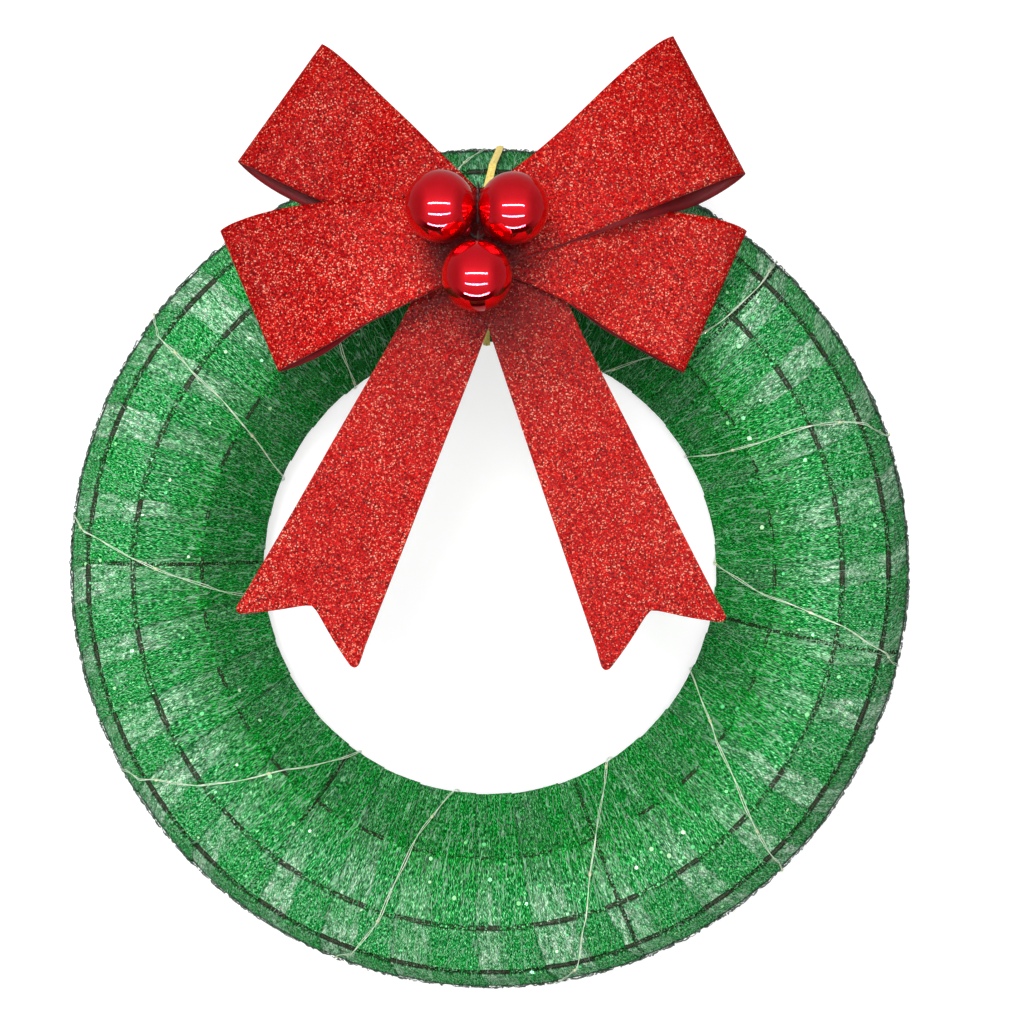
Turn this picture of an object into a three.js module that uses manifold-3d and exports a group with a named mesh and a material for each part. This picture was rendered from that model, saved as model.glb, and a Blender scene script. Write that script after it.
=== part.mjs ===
// A finished door wreath: a wire wreath frame wrapped in mesh ribbon, with a light string, a battery box
// and a bow with three baubles held on by a twist tie.
// Millimetres, +Z up, the wreath hangs upright with its flat back on the plane y = 0 and its front to -Y.
// The origin is on the flat back at the top of the ring, halfway across the tube.
// Shapes are laid out about the wreath's centre as (x, z, height), where height is measured forward from the back.
import * as THREE from 'three';
import Module from 'manifold-3d';

// ---- Driving dimensions -------------------------------------------------------------------------------------

// Wire frame: the five rings' centreline radii and heights above the back rings' plane
const WIRE_RADIUS = 0.9;
const RINGS = [
  { name: 'outer_back_ring', radius: 176.9, rise: 0 },
  { name: 'outer_shoulder_ring', radius: 160.2, rise: 27.2 },
  { name: 'crown_ring', radius: 137.5, rise: 39.9 },
  { name: 'inner_shoulder_ring', radius: 114.8, rise: 27.2 },
  { name: 'inner_back_ring', radius: 98.1, rise: 0 },
];
const TUBE_RADIUS = 137.5;
const CROSSBAR_CLOCK = [43.6, 101.6, 158.2, 217, 271.5, 337.5]; // degrees clockwise from the top
const FIT_GAP = 0.3;

// Mesh ribbon, wound square over the frame
const WRAP_CLEARANCE = 0.35;
const WRAP_THICKNESS = 0.5;
const WRAP_LENGTHS = 8;
const TURNS_PER_LENGTH = 4;
const TURN_GAP = 0.35; // degrees between neighbouring turns
const WRAP_START = -1.9; // clock angle where the first length starts at the outer back edge
const BACK_SHARES = [0.34, 0.66]; // extra rows across the flat back
const LENGTH_GAP = 0.5; // between the end of one length and the start of the next

// Light string: clock angles where each crossing leaves the inner edge and reaches the outer edge
const STRING_WIDTH = 1.4;
const STRING_THICKNESS = 0.6;
const LED_WIDTH = 2.4;
const LED_THICKNESS = 1.5;
const LED_HALF_LENGTH = 1.6;
const CROSSINGS = [
  [29, 44], [60, 72], [88, 105], [116, 136], [146, 170], [187, 202],
  [216, 243], [264, 278], [292, 307], [323, 335],
];
const STRING_START = { x: -14, z: 143.6, clock: 0.2 }; // leaves the battery case, then drops over the top edge

// Battery box, centred behind the bow
const BOX = { x: 0, z: 126.5, length: 50, width: 26, back: 45.4, front: 53.6, wall: 1.2 };
const FLANGE = { out: 1.2, thickness: 0.8 };
const LID_THICKNESS = 1.2;
const LID_LIP = 1;
const CELL = { radius: 10, thickness: 3.2, back: 48.3 };
const CELL_X = [-7, 13.4];
const CONTACT_THICKNESS = 0.3;
const SWITCH = { x: -20.4, length: 6, width: 3.6, depth: 4, back: 48 };
const KNOB = { size: 2, travel: 3, stand: 3 };

// Twist tie
const TIE_WIDTH = 3;
const TIE_THICKNESS = 0.6;
const TIE_CLEARANCE = 3; // from the ring centrelines to the inside of the tie, room for the string below it
const TIE_TWIST = { x: 9.5, z: 140 }; // where its ends are twisted together behind the tube

// Bow: waist, loops by the corners of their fold edge, tails by their root and the middle of their tips
const RIBBON = 0.7;
const LAYER_STEP = 1;
const TAIL_BACK = 56.4;
const STRIP_BACK = 59.7;
const WAIST = { x: -3, z: 128, half: 15 };
const LOOPS = {
  upperLeft: { top: [-62.7, 200.4], bottom: [-94.4, 156.1], front: 56.4, back: 49.4 },
  lowerRight: { top: [98.2, 130], bottom: [74.3, 76.4], front: 55, back: 48.6 },
  upperRight: { top: [70.6, 203.1], bottom: [97.8, 151.2], front: 58.5, back: 48.6 },
  lowerLeft: { top: [-100.4, 129.7], bottom: [-78.1, 76.8], front: 55.4, back: 48.6 },
};
// Shares of a loop's length over which its front and rear layers come down from the waist's height
const STRIP_EASE = {
  back: { front: [0.36, 0.7], back: [0.34, 0.64] },
  front: { front: [0.48, 0.95], back: [0.5, 0.85] },
};
const TAILS = {
  left: { root: [-3, 126], tip: [-73.7, -23], height: 50, ease: [0.06, 0.32] },
  right: { root: [2.6, 128.6], tip: [68, -25.4], height: 51.5, ease: [0.1, 0.36] },
};
const TAIL_HALF = [13, 24.1];
const TAIL_NOTCH = 12.5;

// Binding wire, tie eye and baubles
const BINDING_RADIUS = 0.5;
const EYE = { radius: 0.4, reach: 3, depth: 54.6 };
const BAUBLE_RADIUS = 12.5;
const BAUBLE_HEIGHT = 77.75;
const BAUBLES = { left: [-16, 131.8], right: [9.9, 131.1], lower: [-3, 107.3] };
const STEMS_MEET = { x: -3, z: 123.4, height: 65.4 };
const CAP = { radius: 2.3, length: 2.6 };
const STEM_RADIUS = 0.5;

// Facets
const RING_STEPS = 48;
const WIRE_SIDES = 6;

// ---- Materials ----------------------------------------------------------------------------------------------

const finish = (color, roughness, metalness) => new THREE.MeshStandardMaterial({ color, roughness, metalness });
const FINISHES = {
  frameWire: () => finish(0x2b2622, 0.55, 0.7),
  mesh: () => finish(0x157a3a, 0.7, 0.1),
  string: () => finish(0xc9cdb8, 0.35, 0.8),
  tie: () => finish(0xe6c34a, 0.4, 0.2),
  plastic: () => finish(0x1d1f22, 0.5, 0),
  knob: () => finish(0xd8d8d4, 0.4, 0),
  steel: () => finish(0xb9bcc0, 0.3, 1),
  ribbon: () => finish(0xc01818, 0.55, 0.2),
  bauble: () => finish(0xc4081a, 0.08, 0.7),
  cap: () => finish(0x8f1018, 0.3, 0.8),
};

// ---- Helpers ------------------------------------------------------------------------------------------------

const place = (x, z, height) => new THREE.Vector3(x, -height, z);

// A point at a clock angle (degrees clockwise from the top, seen from the front) and a radius.
function clockPoint(clock, radius, height) {
  const angle = THREE.MathUtils.degToRad(clock);
  return place(radius * Math.sin(angle), radius * Math.cos(angle), height);
}

function signedVolume(positions, index) {
  const [a, b, c] = [new THREE.Vector3(), new THREE.Vector3(), new THREE.Vector3()];
  let volume = 0;
  for (let i = 0; i < index.length; i += 3) {
    a.fromArray(positions, index[i] * 3);
    b.fromArray(positions, index[i + 1] * 3);
    c.fromArray(positions, index[i + 2] * 3);
    volume += a.dot(b.cross(c)) / 6;
  }
  return volume;
}

function solidFrom(positions, index) {
  const facing = signedVolume(positions, index) > 0 ? index : [...index].reverse();
  const geometry = new THREE.BufferGeometry();
  geometry.setAttribute('position', new THREE.Float32BufferAttribute(positions, 3));
  geometry.setIndex(facing);
  geometry.computeVertexNormals();
  return geometry;
}

// A sheet with thickness: rows of points across it, on its outer and inner faces, each row { outer, inner }.
function sheet(rows, closed = false) {
  const across = rows[0].outer.length;
  const positions = rows.flatMap((row) => [...row.outer, ...row.inner].flatMap((p) => p.toArray()));
  const at = (row, column, inner) => (row % rows.length) * 2 * across + (inner ? across : 0) + column;
  const index = [];
  const quad = (a, b, c, d) => index.push(a, b, c, a, c, d);
  const spans = closed ? rows.length : rows.length - 1;
  for (let r = 0; r < spans; r += 1) {
    for (let c = 0; c < across - 1; c += 1) {
      quad(at(r, c), at(r, c + 1), at(r + 1, c + 1), at(r + 1, c));
      quad(at(r, c + 1, true), at(r, c, true), at(r + 1, c, true), at(r + 1, c + 1, true));
    }
    quad(at(r, 0, true), at(r, 0), at(r + 1, 0), at(r + 1, 0, true));
    quad(at(r, across - 1), at(r, across - 1, true), at(r + 1, across - 1, true), at(r + 1, across - 1));
  }
  if (!closed) {
    const last = rows.length - 1;
    for (let c = 0; c < across - 1; c += 1) {
      quad(at(0, c + 1), at(0, c), at(0, c, true), at(0, c + 1, true));
      quad(at(last, c), at(last, c + 1), at(last, c + 1, true), at(last, c, true));
    }
  }
  return solidFrom(positions, index);
}

// Round wire bent smoothly through points.
function bentWire(points, radius, steps) {
  const section = new THREE.Shape();
  for (let i = 0; i < WIRE_SIDES; i += 1) {
    const angle = (i / WIRE_SIDES) * 2 * Math.PI;
    section[i ? 'lineTo' : 'moveTo'](radius * Math.cos(angle), radius * Math.sin(angle));
  }
  const extrudePath = new THREE.CatmullRomCurve3(points, false, 'centripetal');
  return new THREE.ExtrudeGeometry(section, { steps, bevelEnabled: false, extrudePath });
}

// A straight rod between two points.
function rod(from, to, radius, sides) {
  const along = new THREE.Vector3().subVectors(to, from);
  const geometry = new THREE.CylinderGeometry(radius, radius, along.length(), sides);
  const turn = new THREE.Quaternion().setFromUnitVectors(new THREE.Vector3(0, 1, 0), along.clone().normalize());
  geometry.applyQuaternion(turn);
  geometry.translate(...new THREE.Vector3().addVectors(from, to).multiplyScalar(0.5).toArray());
  return geometry;
}

// A block given by its low and high corners as (x, z, height).
function block(low, high) {
  const size = high.map((value, i) => value - low[i]);
  const geometry = new THREE.BoxGeometry(size[0], size[2], size[1]);
  const centre = high.map((value, i) => (value + low[i]) / 2);
  return geometry.translate(centre[0], -centre[2], centre[1]);
}

// ---- The tube's cross-section -------------------------------------------------------------------------------

const WRAP_INNER = WIRE_RADIUS + WRAP_CLEARANCE;
const WRAP_OUTER = WRAP_INNER + WRAP_THICKNESS;
const CORNERS = [...RINGS].map((ring) => ({ radius: ring.radius, height: ring.rise + WRAP_OUTER }));
const CORNER_STEP = THREE.MathUtils.degToRad(41);

// The outline round the rings at an offset from their centrelines, from the outer back corner over the crown to
// the inner back corner. Each station has its place, its outward direction and its share of the way round.
function outline(offset) {
  const count = CORNERS.length;
  const heading = CORNERS.map((corner, i) => {
    const next = CORNERS[(i + 1) % count];
    return Math.atan2(next.height - corner.height, next.radius - corner.radius);
  });
  const stations = [];
  CORNERS.forEach((corner, i) => {
    const arriving = heading[(i + count - 1) % count] - Math.PI / 2;
    let turn = heading[i] - Math.PI / 2 - arriving;
    turn = ((turn % (2 * Math.PI)) + 2 * Math.PI) % (2 * Math.PI);
    const parts = Math.ceil(turn / CORNER_STEP);
    for (let k = 0; k <= parts; k += 1) {
      const normal = arriving + (turn * k) / parts;
      stations.push({
        radius: corner.radius + offset * Math.cos(normal),
        height: corner.height + offset * Math.sin(normal),
        normal,
      });
    }
  });
  let travelled = 0;
  stations.forEach((station, i) => {
    const before = stations[Math.max(i - 1, 0)];
    travelled += Math.hypot(station.radius - before.radius, station.height - before.height);
    station.travelled = travelled;
  });
  const first = stations[0];
  const last = stations[stations.length - 1];
  const total = travelled + Math.hypot(first.radius - last.radius, first.height - last.height);
  stations.forEach((station) => { station.share = station.travelled / total; });
  return stations;
}

// ---- Wire frame ---------------------------------------------------------------------------------------------

function ringGeometry(ring) {
  const geometry = new THREE.TorusGeometry(ring.radius, WIRE_RADIUS, WIRE_SIDES, RING_STEPS);
  geometry.rotateX(Math.PI / 2);
  return geometry.translate(0, -(ring.rise + WRAP_OUTER), 0);
}

// A cross bar follows the arch just inside the rings.
function crossbarGeometry(clock) {
  const inset = 2 * WIRE_RADIUS + FIT_GAP;
  const centre = { radius: TUBE_RADIUS, height: WRAP_OUTER };
  const points = CORNERS.map((corner, i) => {
    const end = i === 0 || i === CORNERS.length - 1;
    const away = end
      ? new THREE.Vector2(Math.sign(centre.radius - corner.radius), 0.35)
      : new THREE.Vector2(centre.radius - corner.radius, centre.height - corner.height);
    away.setLength(inset);
    return clockPoint(clock, corner.radius + away.x, corner.height + away.y);
  });
  return bentWire(points, WIRE_RADIUS, 12);
}

// ---- Mesh ribbon --------------------------------------------------------------------------------------------

const TURN_PITCH = 360 / (WRAP_LENGTHS * TURNS_PER_LENGTH);

// A turn's stations: from the outer back edge over the crown to the inner back edge, then slanting back across
// the flat back to the start of the next turn. The last turn stops just short of the next length.
function turnStations(offset, last) {
  const front = outline(offset);
  const from = front[front.length - 1];
  const to = { ...front[0], share: 1 };
  const stop = 1 - LENGTH_GAP / (to.radius - from.radius);
  const back = (last ? [...BACK_SHARES, stop] : BACK_SHARES).map((share) => ({
    radius: THREE.MathUtils.lerp(from.radius, to.radius, share),
    height: from.height,
    share: THREE.MathUtils.lerp(from.share, to.share, share),
  }));
  return [...front, ...back];
}

// One length of ribbon, wound for a few turns from its start at the outer back edge.
function wrapGeometry(startClock) {
  const half = (TURN_PITCH - TURN_GAP) / 2;
  const rows = [];
  for (let turn = 0; turn < TURNS_PER_LENGTH; turn += 1) {
    const last = turn === TURNS_PER_LENGTH - 1;
    const inner = turnStations(WRAP_INNER, last);
    turnStations(WRAP_OUTER, last).forEach((station, i) => {
      const clock = startClock + TURN_PITCH * (turn + station.share);
      const row = (from) => [-half, 0, half].map((side) => clockPoint(clock + side, from.radius, from.height));
      rows.push({ outer: row(station), inner: row(inner[i]) });
    });
  }
  return sheet(rows);
}

// ---- Light string -------------------------------------------------------------------------------------------

// Stations down one crossing and back behind the tube to the start of the next.
function stringTurn(line, crossing, next) {
  const [innerClock, outerClock] = crossing;
  const front = line.filter((station) => Math.sin(station.normal) > -0.5);
  const ordered = [...front].reverse();
  const span = ordered[0].travelled - ordered[ordered.length - 1].travelled;
  const stations = ordered.map((station) => {
    const share = (ordered[0].travelled - station.travelled) / span;
    return { ...station, clock: innerClock + (outerClock - innerClock) * share };
  });
  const behind = line.filter((station) => Math.sin(station.normal) <= -0.5);
  const outerBack = behind.filter((station) => station.radius > TUBE_RADIUS).reverse();
  const innerBack = behind.filter((station) => station.radius < TUBE_RADIUS).reverse();
  outerBack.forEach((station) => stations.push({ ...station, clock: outerClock }));
  if (next) {
    innerBack.forEach((station) => stations.push({ ...station, clock: next[0] }));
  }
  return stations;
}

// A swelling for a LED halfway between two stations on a straight stretch.
function withLed(from, to) {
  const blend = (share, led) => ({
    radius: from.radius + (to.radius - from.radius) * share,
    height: from.height + (to.height - from.height) * share,
    clock: from.clock + (to.clock - from.clock) * share,
    normal: from.normal,
    led,
  });
  const length = Math.hypot(to.radius - from.radius, to.height - from.height);
  const reach = LED_HALF_LENGTH / length;
  return [blend(0.5 - reach, false), blend(0.5, true), blend(0.5 + reach, false)];
}

function stringStations() {
  const line = outline(WRAP_OUTER + FIT_GAP);
  const lead = stringTurn(line, [STRING_START.clock, STRING_START.clock], CROSSINGS[0])
    .filter((station) => station.radius > TUBE_RADIUS + 15 || Math.sin(station.normal) <= -0.5);
  const turns = CROSSINGS.flatMap((crossing, i) => stringTurn(line, crossing, CROSSINGS[i + 1]));
  const plain = [...lead, ...turns];
  return plain.flatMap((station, i) => {
    const next = plain[i + 1];
    const gap = next ? Math.hypot(next.radius - station.radius, next.height - station.height) : 0;
    const straight = gap > 20 && Math.abs(next.normal - station.normal) < 1e-6;
    return straight && i % 2 === 0 ? [station, ...withLed(station, next)] : [station];
  });
}

function stringGeometry() {
  const stations = stringStations();
  const spots = stations.map((station) => clockPoint(station.clock, station.radius, station.height));
  const start = place(STRING_START.x, STRING_START.z, BOX.back + 3);
  const outs = stations.map((station) => {
    const flat = clockPoint(station.clock, Math.cos(station.normal), 0);
    return flat.add(new THREE.Vector3(0, -Math.sin(station.normal), 0));
  });
  spots.unshift(start);
  outs.unshift(outs[0].clone());
  const rows = spots.map((spot, i) => {
    const before = spots[Math.max(i - 1, 0)];
    const after = spots[Math.min(i + 1, spots.length - 1)];
    const along = new THREE.Vector3().subVectors(after, before).normalize();
    const across = new THREE.Vector3().crossVectors(along, outs[i]).normalize();
    const led = i > 0 && stations[i - 1].led;
    const half = across.multiplyScalar((led ? LED_WIDTH : STRING_WIDTH) / 2);
    const lift = outs[i].clone().multiplyScalar(led ? LED_THICKNESS : STRING_THICKNESS);
    const inner = [spot.clone().sub(half), spot.clone().add(half)];
    return { inner, outer: inner.map((point) => point.clone().add(lift)) };
  });
  return sheet(rows);
}

// ---- Twist tie ----------------------------------------------------------------------------------------------

// The tie goes over the bow's eye and the battery box at the front and round the tube at the back.
function tieGeometry() {
  const boxEdge = BOX.z + BOX.width / 2;
  const lidEdge = boxEdge + FLANGE.out + FIT_GAP + LID_LIP;
  const overTop = [
    { z: WAIST.z + EYE.reach, height: EYE.depth + 2 * EYE.radius, normal: 90, x: WAIST.x },
    { z: boxEdge + 0.6, height: BOX.front + 0.6, normal: 60, x: WAIST.x + 1.5 },
    { z: lidEdge + 0.8, height: BOX.back + 2.6, normal: 20, x: WAIST.x + 2.5 },
    { z: lidEdge + 2, height: BOX.back - 1, normal: 35, x: WAIST.x + 3 },
  ];
  const overBottom = [
    { z: BOX.z - (lidEdge - BOX.z) - 1.6, height: BOX.back - 3, normal: 150, x: WAIST.x + 0.3 },
    { z: BOX.z - (lidEdge - BOX.z) - 0.6, height: BOX.back + 3, normal: 160, x: WAIST.x + 0.2 },
    { z: BOX.z - BOX.width / 2 - 0.6, height: BOX.front + 0.6, normal: 120, x: WAIST.x },
    { z: WAIST.z - EYE.reach, height: EYE.depth + 2 * EYE.radius, normal: 90, x: WAIST.x },
  ];
  const line = outline(TIE_CLEARANCE);
  const outerSide = line.filter((station) => station.radius > TUBE_RADIUS + 15).reverse();
  const innerSide = line.filter((station) => station.radius < TUBE_RADIUS - 15).reverse();
  const lean = (z) => WAIST.x + 1.6 + ((z - CORNERS[4].radius) / (CORNERS[0].radius - CORNERS[4].radius)) * 5.8;
  const round = (stations) => stations.map((station) => ({
    x: lean(station.radius),
    z: station.radius,
    height: station.height,
    normal: THREE.MathUtils.radToDeg(station.normal),
  }));
  const twist = { ...TIE_TWIST, height: CORNERS[0].height - TIE_CLEARANCE, normal: -90 };
  const path = [...overTop, ...round(outerSide), twist, ...round(innerSide), ...overBottom];
  const rows = path.map((spot) => {
    const angle = THREE.MathUtils.degToRad(spot.normal);
    const lift = place(0, Math.cos(angle) * TIE_THICKNESS, Math.sin(angle) * TIE_THICKNESS);
    const inner = [-1, 1].map((side) => place(spot.x + (side * TIE_WIDTH) / 2, spot.z, spot.height));
    return { inner, outer: inner.map((point) => point.clone().add(lift)) };
  });
  return sheet(rows, true);
}

// ---- Battery box --------------------------------------------------------------------------------------------

const wasm = await Module();
wasm.setup();

function toManifold(geometry) {
  const corners = new Map();
  const vertices = [];
  const source = geometry.getAttribute('position');
  const remap = Array.from({ length: source.count }, (_, i) => {
    const corner = [source.getX(i), source.getY(i), source.getZ(i)];
    const key = corner.map((value) => value.toFixed(4)).join();
    if (!corners.has(key)) {
      corners.set(key, vertices.length / 3);
      vertices.push(...corner);
    }
    return corners.get(key);
  });
  const triangles = Array.from(geometry.getIndex().array, (i) => remap[i]);
  return new wasm.Manifold(new wasm.Mesh({
    numProp: 3,
    vertProperties: Float32Array.from(vertices),
    triVerts: Uint32Array.from(triangles),
  }));
}

function fromManifold(solid) {
  const mesh = solid.getMesh();
  const geometry = new THREE.BufferGeometry();
  geometry.setAttribute('position', new THREE.BufferAttribute(mesh.vertProperties, 3));
  geometry.setIndex(new THREE.BufferAttribute(mesh.triVerts, 1));
  geometry.computeVertexNormals();
  return geometry;
}

// The box's extents about its own centre line, as low and high corners.
const across = (halfLength, halfWidth, back, front) => [
  [BOX.x - halfLength, BOX.z - halfWidth, back],
  [BOX.x + halfLength, BOX.z + halfWidth, front],
];

// A tray that opens to the back, with a flange for the lid, a slot for the switch and a hole for the wires.
function caseGeometry() {
  const halfLength = BOX.length / 2;
  const halfWidth = BOX.width / 2;
  const body = block(...across(halfLength, halfWidth, BOX.back, BOX.front));
  const flange = block(...across(halfLength, halfWidth + FLANGE.out, BOX.back, BOX.back + FLANGE.thickness));
  const hollow = block(...across(halfLength - BOX.wall, halfWidth - BOX.wall, BOX.back - 1, BOX.front - BOX.wall));
  const slotHalf = (KNOB.size + 2 * FIT_GAP) / 2;
  const slotMiddle = SWITCH.back + SWITCH.depth / 2;
  const top = BOX.z + halfWidth;
  const slot = block(
    [SWITCH.x - KNOB.travel / 2 - slotHalf, top - 2 * BOX.wall, slotMiddle - slotHalf],
    [SWITCH.x + KNOB.travel / 2 + slotHalf, top + 1, slotMiddle + slotHalf],
  );
  const wireHole = block(
    [STRING_START.x - 1.2, top - 2 * BOX.wall, BOX.back + 2.2],
    [STRING_START.x + 1.2, top + 1, BOX.back + 4.4],
  );
  return fromManifold([hollow, slot, wireHole].reduce(
    (solid, cut) => solid.subtract(toManifold(cut)),
    toManifold(body).add(toManifold(flange)),
  ));
}

// A plate whose two long edges hook round the case's flanges.
function lidGeometry() {
  const flangeEdge = BOX.width / 2 + FLANGE.out;
  const edge = flangeEdge + FIT_GAP + LID_LIP;
  const back = BOX.back - FIT_GAP - LID_THICKNESS;
  const hookUnder = BOX.back + FLANGE.thickness + FIT_GAP;
  const plate = toManifold(block(...across(BOX.length / 2, edge, back, hookUnder + FLANGE.thickness)));
  const room = block(...across(BOX.length, flangeEdge + FIT_GAP, BOX.back - FIT_GAP, hookUnder));
  const mouth = block(...across(BOX.length, BOX.width / 2 + FIT_GAP, BOX.back - FIT_GAP, BOX.front));
  return fromManifold(plate.subtract(toManifold(room)).subtract(toManifold(mouth)));
}

function cellGeometry(x) {
  const middle = BOX.z;
  return rod(place(x, middle, CELL.back), place(x, middle, CELL.back + CELL.thickness), CELL.radius, 20);
}

function contactGeometry(from, to, halfWidth, back) {
  return block([from, BOX.z - halfWidth, back], [to, BOX.z + halfWidth, back + CONTACT_THICKNESS]);
}

function switchBodyGeometry() {
  const top = BOX.z + BOX.width / 2 - BOX.wall - 2 * FIT_GAP;
  return block(
    [SWITCH.x - SWITCH.length / 2, top - SWITCH.width, SWITCH.back],
    [SWITCH.x + SWITCH.length / 2, top, SWITCH.back + SWITCH.depth],
  );
}

// The knob rests at the off end of its slot.
function knobGeometry() {
  const foot = BOX.z + BOX.width / 2 - BOX.wall - FIT_GAP;
  const x = SWITCH.x - KNOB.travel / 2;
  const middle = SWITCH.back + SWITCH.depth / 2;
  return block(
    [x - KNOB.size / 2, foot, middle - KNOB.size / 2],
    [x + KNOB.size / 2, foot + KNOB.stand, middle + KNOB.size / 2],
  );
}

// ---- Bow ----------------------------------------------------------------------------------------------------

const flat = ([x, z]) => new THREE.Vector2(x, z);
const WAIST_SPOT = new THREE.Vector2(WAIST.x, WAIST.z);

// Stations from the waist out along the front of a loop, round its fold and back along its rear to the waist.
function loopStations(loop, ease, frontWaist, backWaist) {
  const middle = flat(loop.top).add(flat(loop.bottom)).multiplyScalar(0.5);
  const foldHalf = flat(loop.top).sub(flat(loop.bottom)).multiplyScalar(0.5);
  const waistHalf = new THREE.Vector2(0, WAIST.half);
  const length = middle.distanceTo(WAIST_SPOT);
  const radius = (loop.front - loop.back) / 2;
  const foldShare = 1 - radius / length;
  const station = (share, height, facing) => ({
    spot: WAIST_SPOT.clone().lerp(middle, share),
    half: waistHalf.clone().lerp(foldHalf, Math.min(share / foldShare, 1)),
    height,
    facing,
  });
  const outward = middle.clone().sub(WAIST_SPOT).normalize();
  const comeDown = (share, from, to, [start, end]) => (
    THREE.MathUtils.lerp(from, to, THREE.MathUtils.smoothstep(share, start, end))
  );
  const shares = [0, 0.34, 0.44, 0.54, 0.64, 0.75, 0.87];
  const front = shares.map((share) => (
    station(share, comeDown(share, frontWaist, loop.front, ease.front), { out: 0, up: 1 })
  ));
  const back = shares.map((share) => (
    station(share, comeDown(share, backWaist, loop.back, ease.back), { out: 0, up: -1 })
  )).reverse();
  const fold = [-60, -30, 0, 30, 60].map((degrees) => {
    const angle = THREE.MathUtils.degToRad(degrees);
    const facing = { out: Math.cos(angle), up: -Math.sin(angle) };
    const share = foldShare + (radius * facing.out) / length;
    return station(share, loop.back + radius + radius * facing.up, facing);
  });
  return [...front, ...fold, ...back].map((entry) => ({ ...entry, outward }));
}

// A strip is one closed band: out round one loop, across the waist and round the opposite loop.
function stripGeometry(first, second, ease, layer) {
  const backWaist = STRIP_BACK + layer * LAYER_STEP;
  const frontWaist = backWaist + LAYER_STEP + RIBBON;
  const one = loopStations(first, ease, frontWaist, backWaist);
  const other = loopStations(second, ease, frontWaist, backWaist).reverse();
  const stations = [...one, ...other.slice(1, -1)];
  const rows = stations.map((station) => {
    const inward = new THREE.Vector3(
      -station.outward.x * station.facing.out,
      station.facing.up,
      -station.outward.y * station.facing.out,
    ).multiplyScalar(RIBBON);
    const outer = [-1, 1].map((side) => {
      const spot = station.spot.clone().addScaledVector(station.half, side);
      return place(spot.x, spot.y, station.height);
    });
    return { outer, inner: outer.map((point) => point.clone().add(inward)) };
  });
  return sheet(rows, true);
}

// A tail leaves the waist in its layer, clears the battery box and hangs with a swallow-tail end.
function tailGeometry(tail, layer) {
  const root = flat(tail.root);
  const along = flat(tail.tip).sub(root);
  const length = along.length();
  along.normalize();
  const side = new THREE.Vector2(-along.y, along.x);
  const start = TAIL_BACK + layer * LAYER_STEP;
  const columns = [-1, -0.5, 0, 0.5, 1];
  const rows = [-0.04, 0.04, 0.1, 0.16, 0.22, 0.28, 0.36, 0.68, 1].map((share) => {
    const height = THREE.MathUtils.lerp(start, tail.height, THREE.MathUtils.smoothstep(share, ...tail.ease));
    const half = THREE.MathUtils.lerp(TAIL_HALF[0], TAIL_HALF[1], Math.max(share, 0));
    const notch = TAIL_NOTCH * THREE.MathUtils.smoothstep(share, 0.3, 1);
    const at = (level) => columns.map((column) => {
      const reach = length * share - notch * (1 - Math.abs(column));
      const spot = root.clone().addScaledVector(along, reach).addScaledVector(side, half * column);
      return place(spot.x, spot.y, level);
    });
    return { outer: at(height + RIBBON), inner: at(height) };
  });
  return sheet(rows);
}

// The binding wire goes round the gathered layers; its two ends meet at the front, under the baubles.
function bindingGeometry() {
  const back = STRIP_BACK - FIT_GAP - BINDING_RADIUS;
  const front = STRIP_BACK + 3 * LAYER_STEP + RIBBON + FIT_GAP + BINDING_RADIUS;
  const reach = WAIST.half + FIT_GAP + 2 * BINDING_RADIUS;
  const points = [
    [1.2, front], [reach * 0.6, front], [reach - 0.6, front], [reach, front - 1.2], [reach, back + 1.2],
    [reach - 0.6, back], [reach * 0.6, back], [-reach * 0.6, back], [0.6 - reach, back],
    [-reach, back + 1.2], [-reach, front - 1.2],
    [0.6 - reach, front], [-reach * 0.6, front], [-1.2, front],
  ];
  return bentWire(points.map(([z, height]) => place(WAIST.x, WAIST.z + z, height)), BINDING_RADIUS, 36);
}

// The eye is a staple of wire behind the waist; the tie passes through it.
function eyeGeometry() {
  const top = TAIL_BACK - FIT_GAP - EYE.radius;
  const points = [
    [-EYE.reach, top], [-EYE.reach, EYE.depth + 0.8], [0.7 - EYE.reach, EYE.depth], [0, EYE.depth],
    [EYE.reach - 0.7, EYE.depth], [EYE.reach, EYE.depth + 0.8], [EYE.reach, top],
  ];
  return bentWire(points.map(([x, height]) => place(WAIST.x + x, WAIST.z, height)), EYE.radius, 18);
}

// ---- Baubles ------------------------------------------------------------------------------------------------

function baubleGeometry([x, z]) {
  return new THREE.SphereGeometry(BAUBLE_RADIUS, 20, 12).translate(x, -BAUBLE_HEIGHT, z);
}

// A rod on the line from a bauble's centre to where the stems meet, between two distances from the centre.
function stemPiece([x, z], from, to, radius, sides) {
  const centre = place(x, z, BAUBLE_HEIGHT);
  const aim = place(STEMS_MEET.x, STEMS_MEET.z, STEMS_MEET.height).sub(centre).normalize();
  return rod(centre.clone().addScaledVector(aim, from), centre.clone().addScaledVector(aim, to), radius, sides);
}

// ---- Assembly -----------------------------------------------------------------------------------------------

function named(name, geometry, material) {
  const mesh = new THREE.Mesh(geometry, material);
  mesh.name = name;
  return mesh;
}

function frameGroup() {
  const group = new THREE.Group();
  RINGS.forEach((ring) => group.add(named(ring.name, ringGeometry(ring), FINISHES.frameWire())));
  CROSSBAR_CLOCK.forEach((clock, i) => {
    group.add(named(`crossbar_${i + 1}`, crossbarGeometry(clock), FINISHES.frameWire()));
  });
  return group;
}

function wrapGroup() {
  const group = new THREE.Group();
  for (let i = 0; i < WRAP_LENGTHS; i += 1) {
    const startClock = WRAP_START + i * TURNS_PER_LENGTH * TURN_PITCH;
    group.add(named(`mesh_wrap_${i + 1}`, wrapGeometry(startClock), FINISHES.mesh()));
  }
  return group;
}

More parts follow.
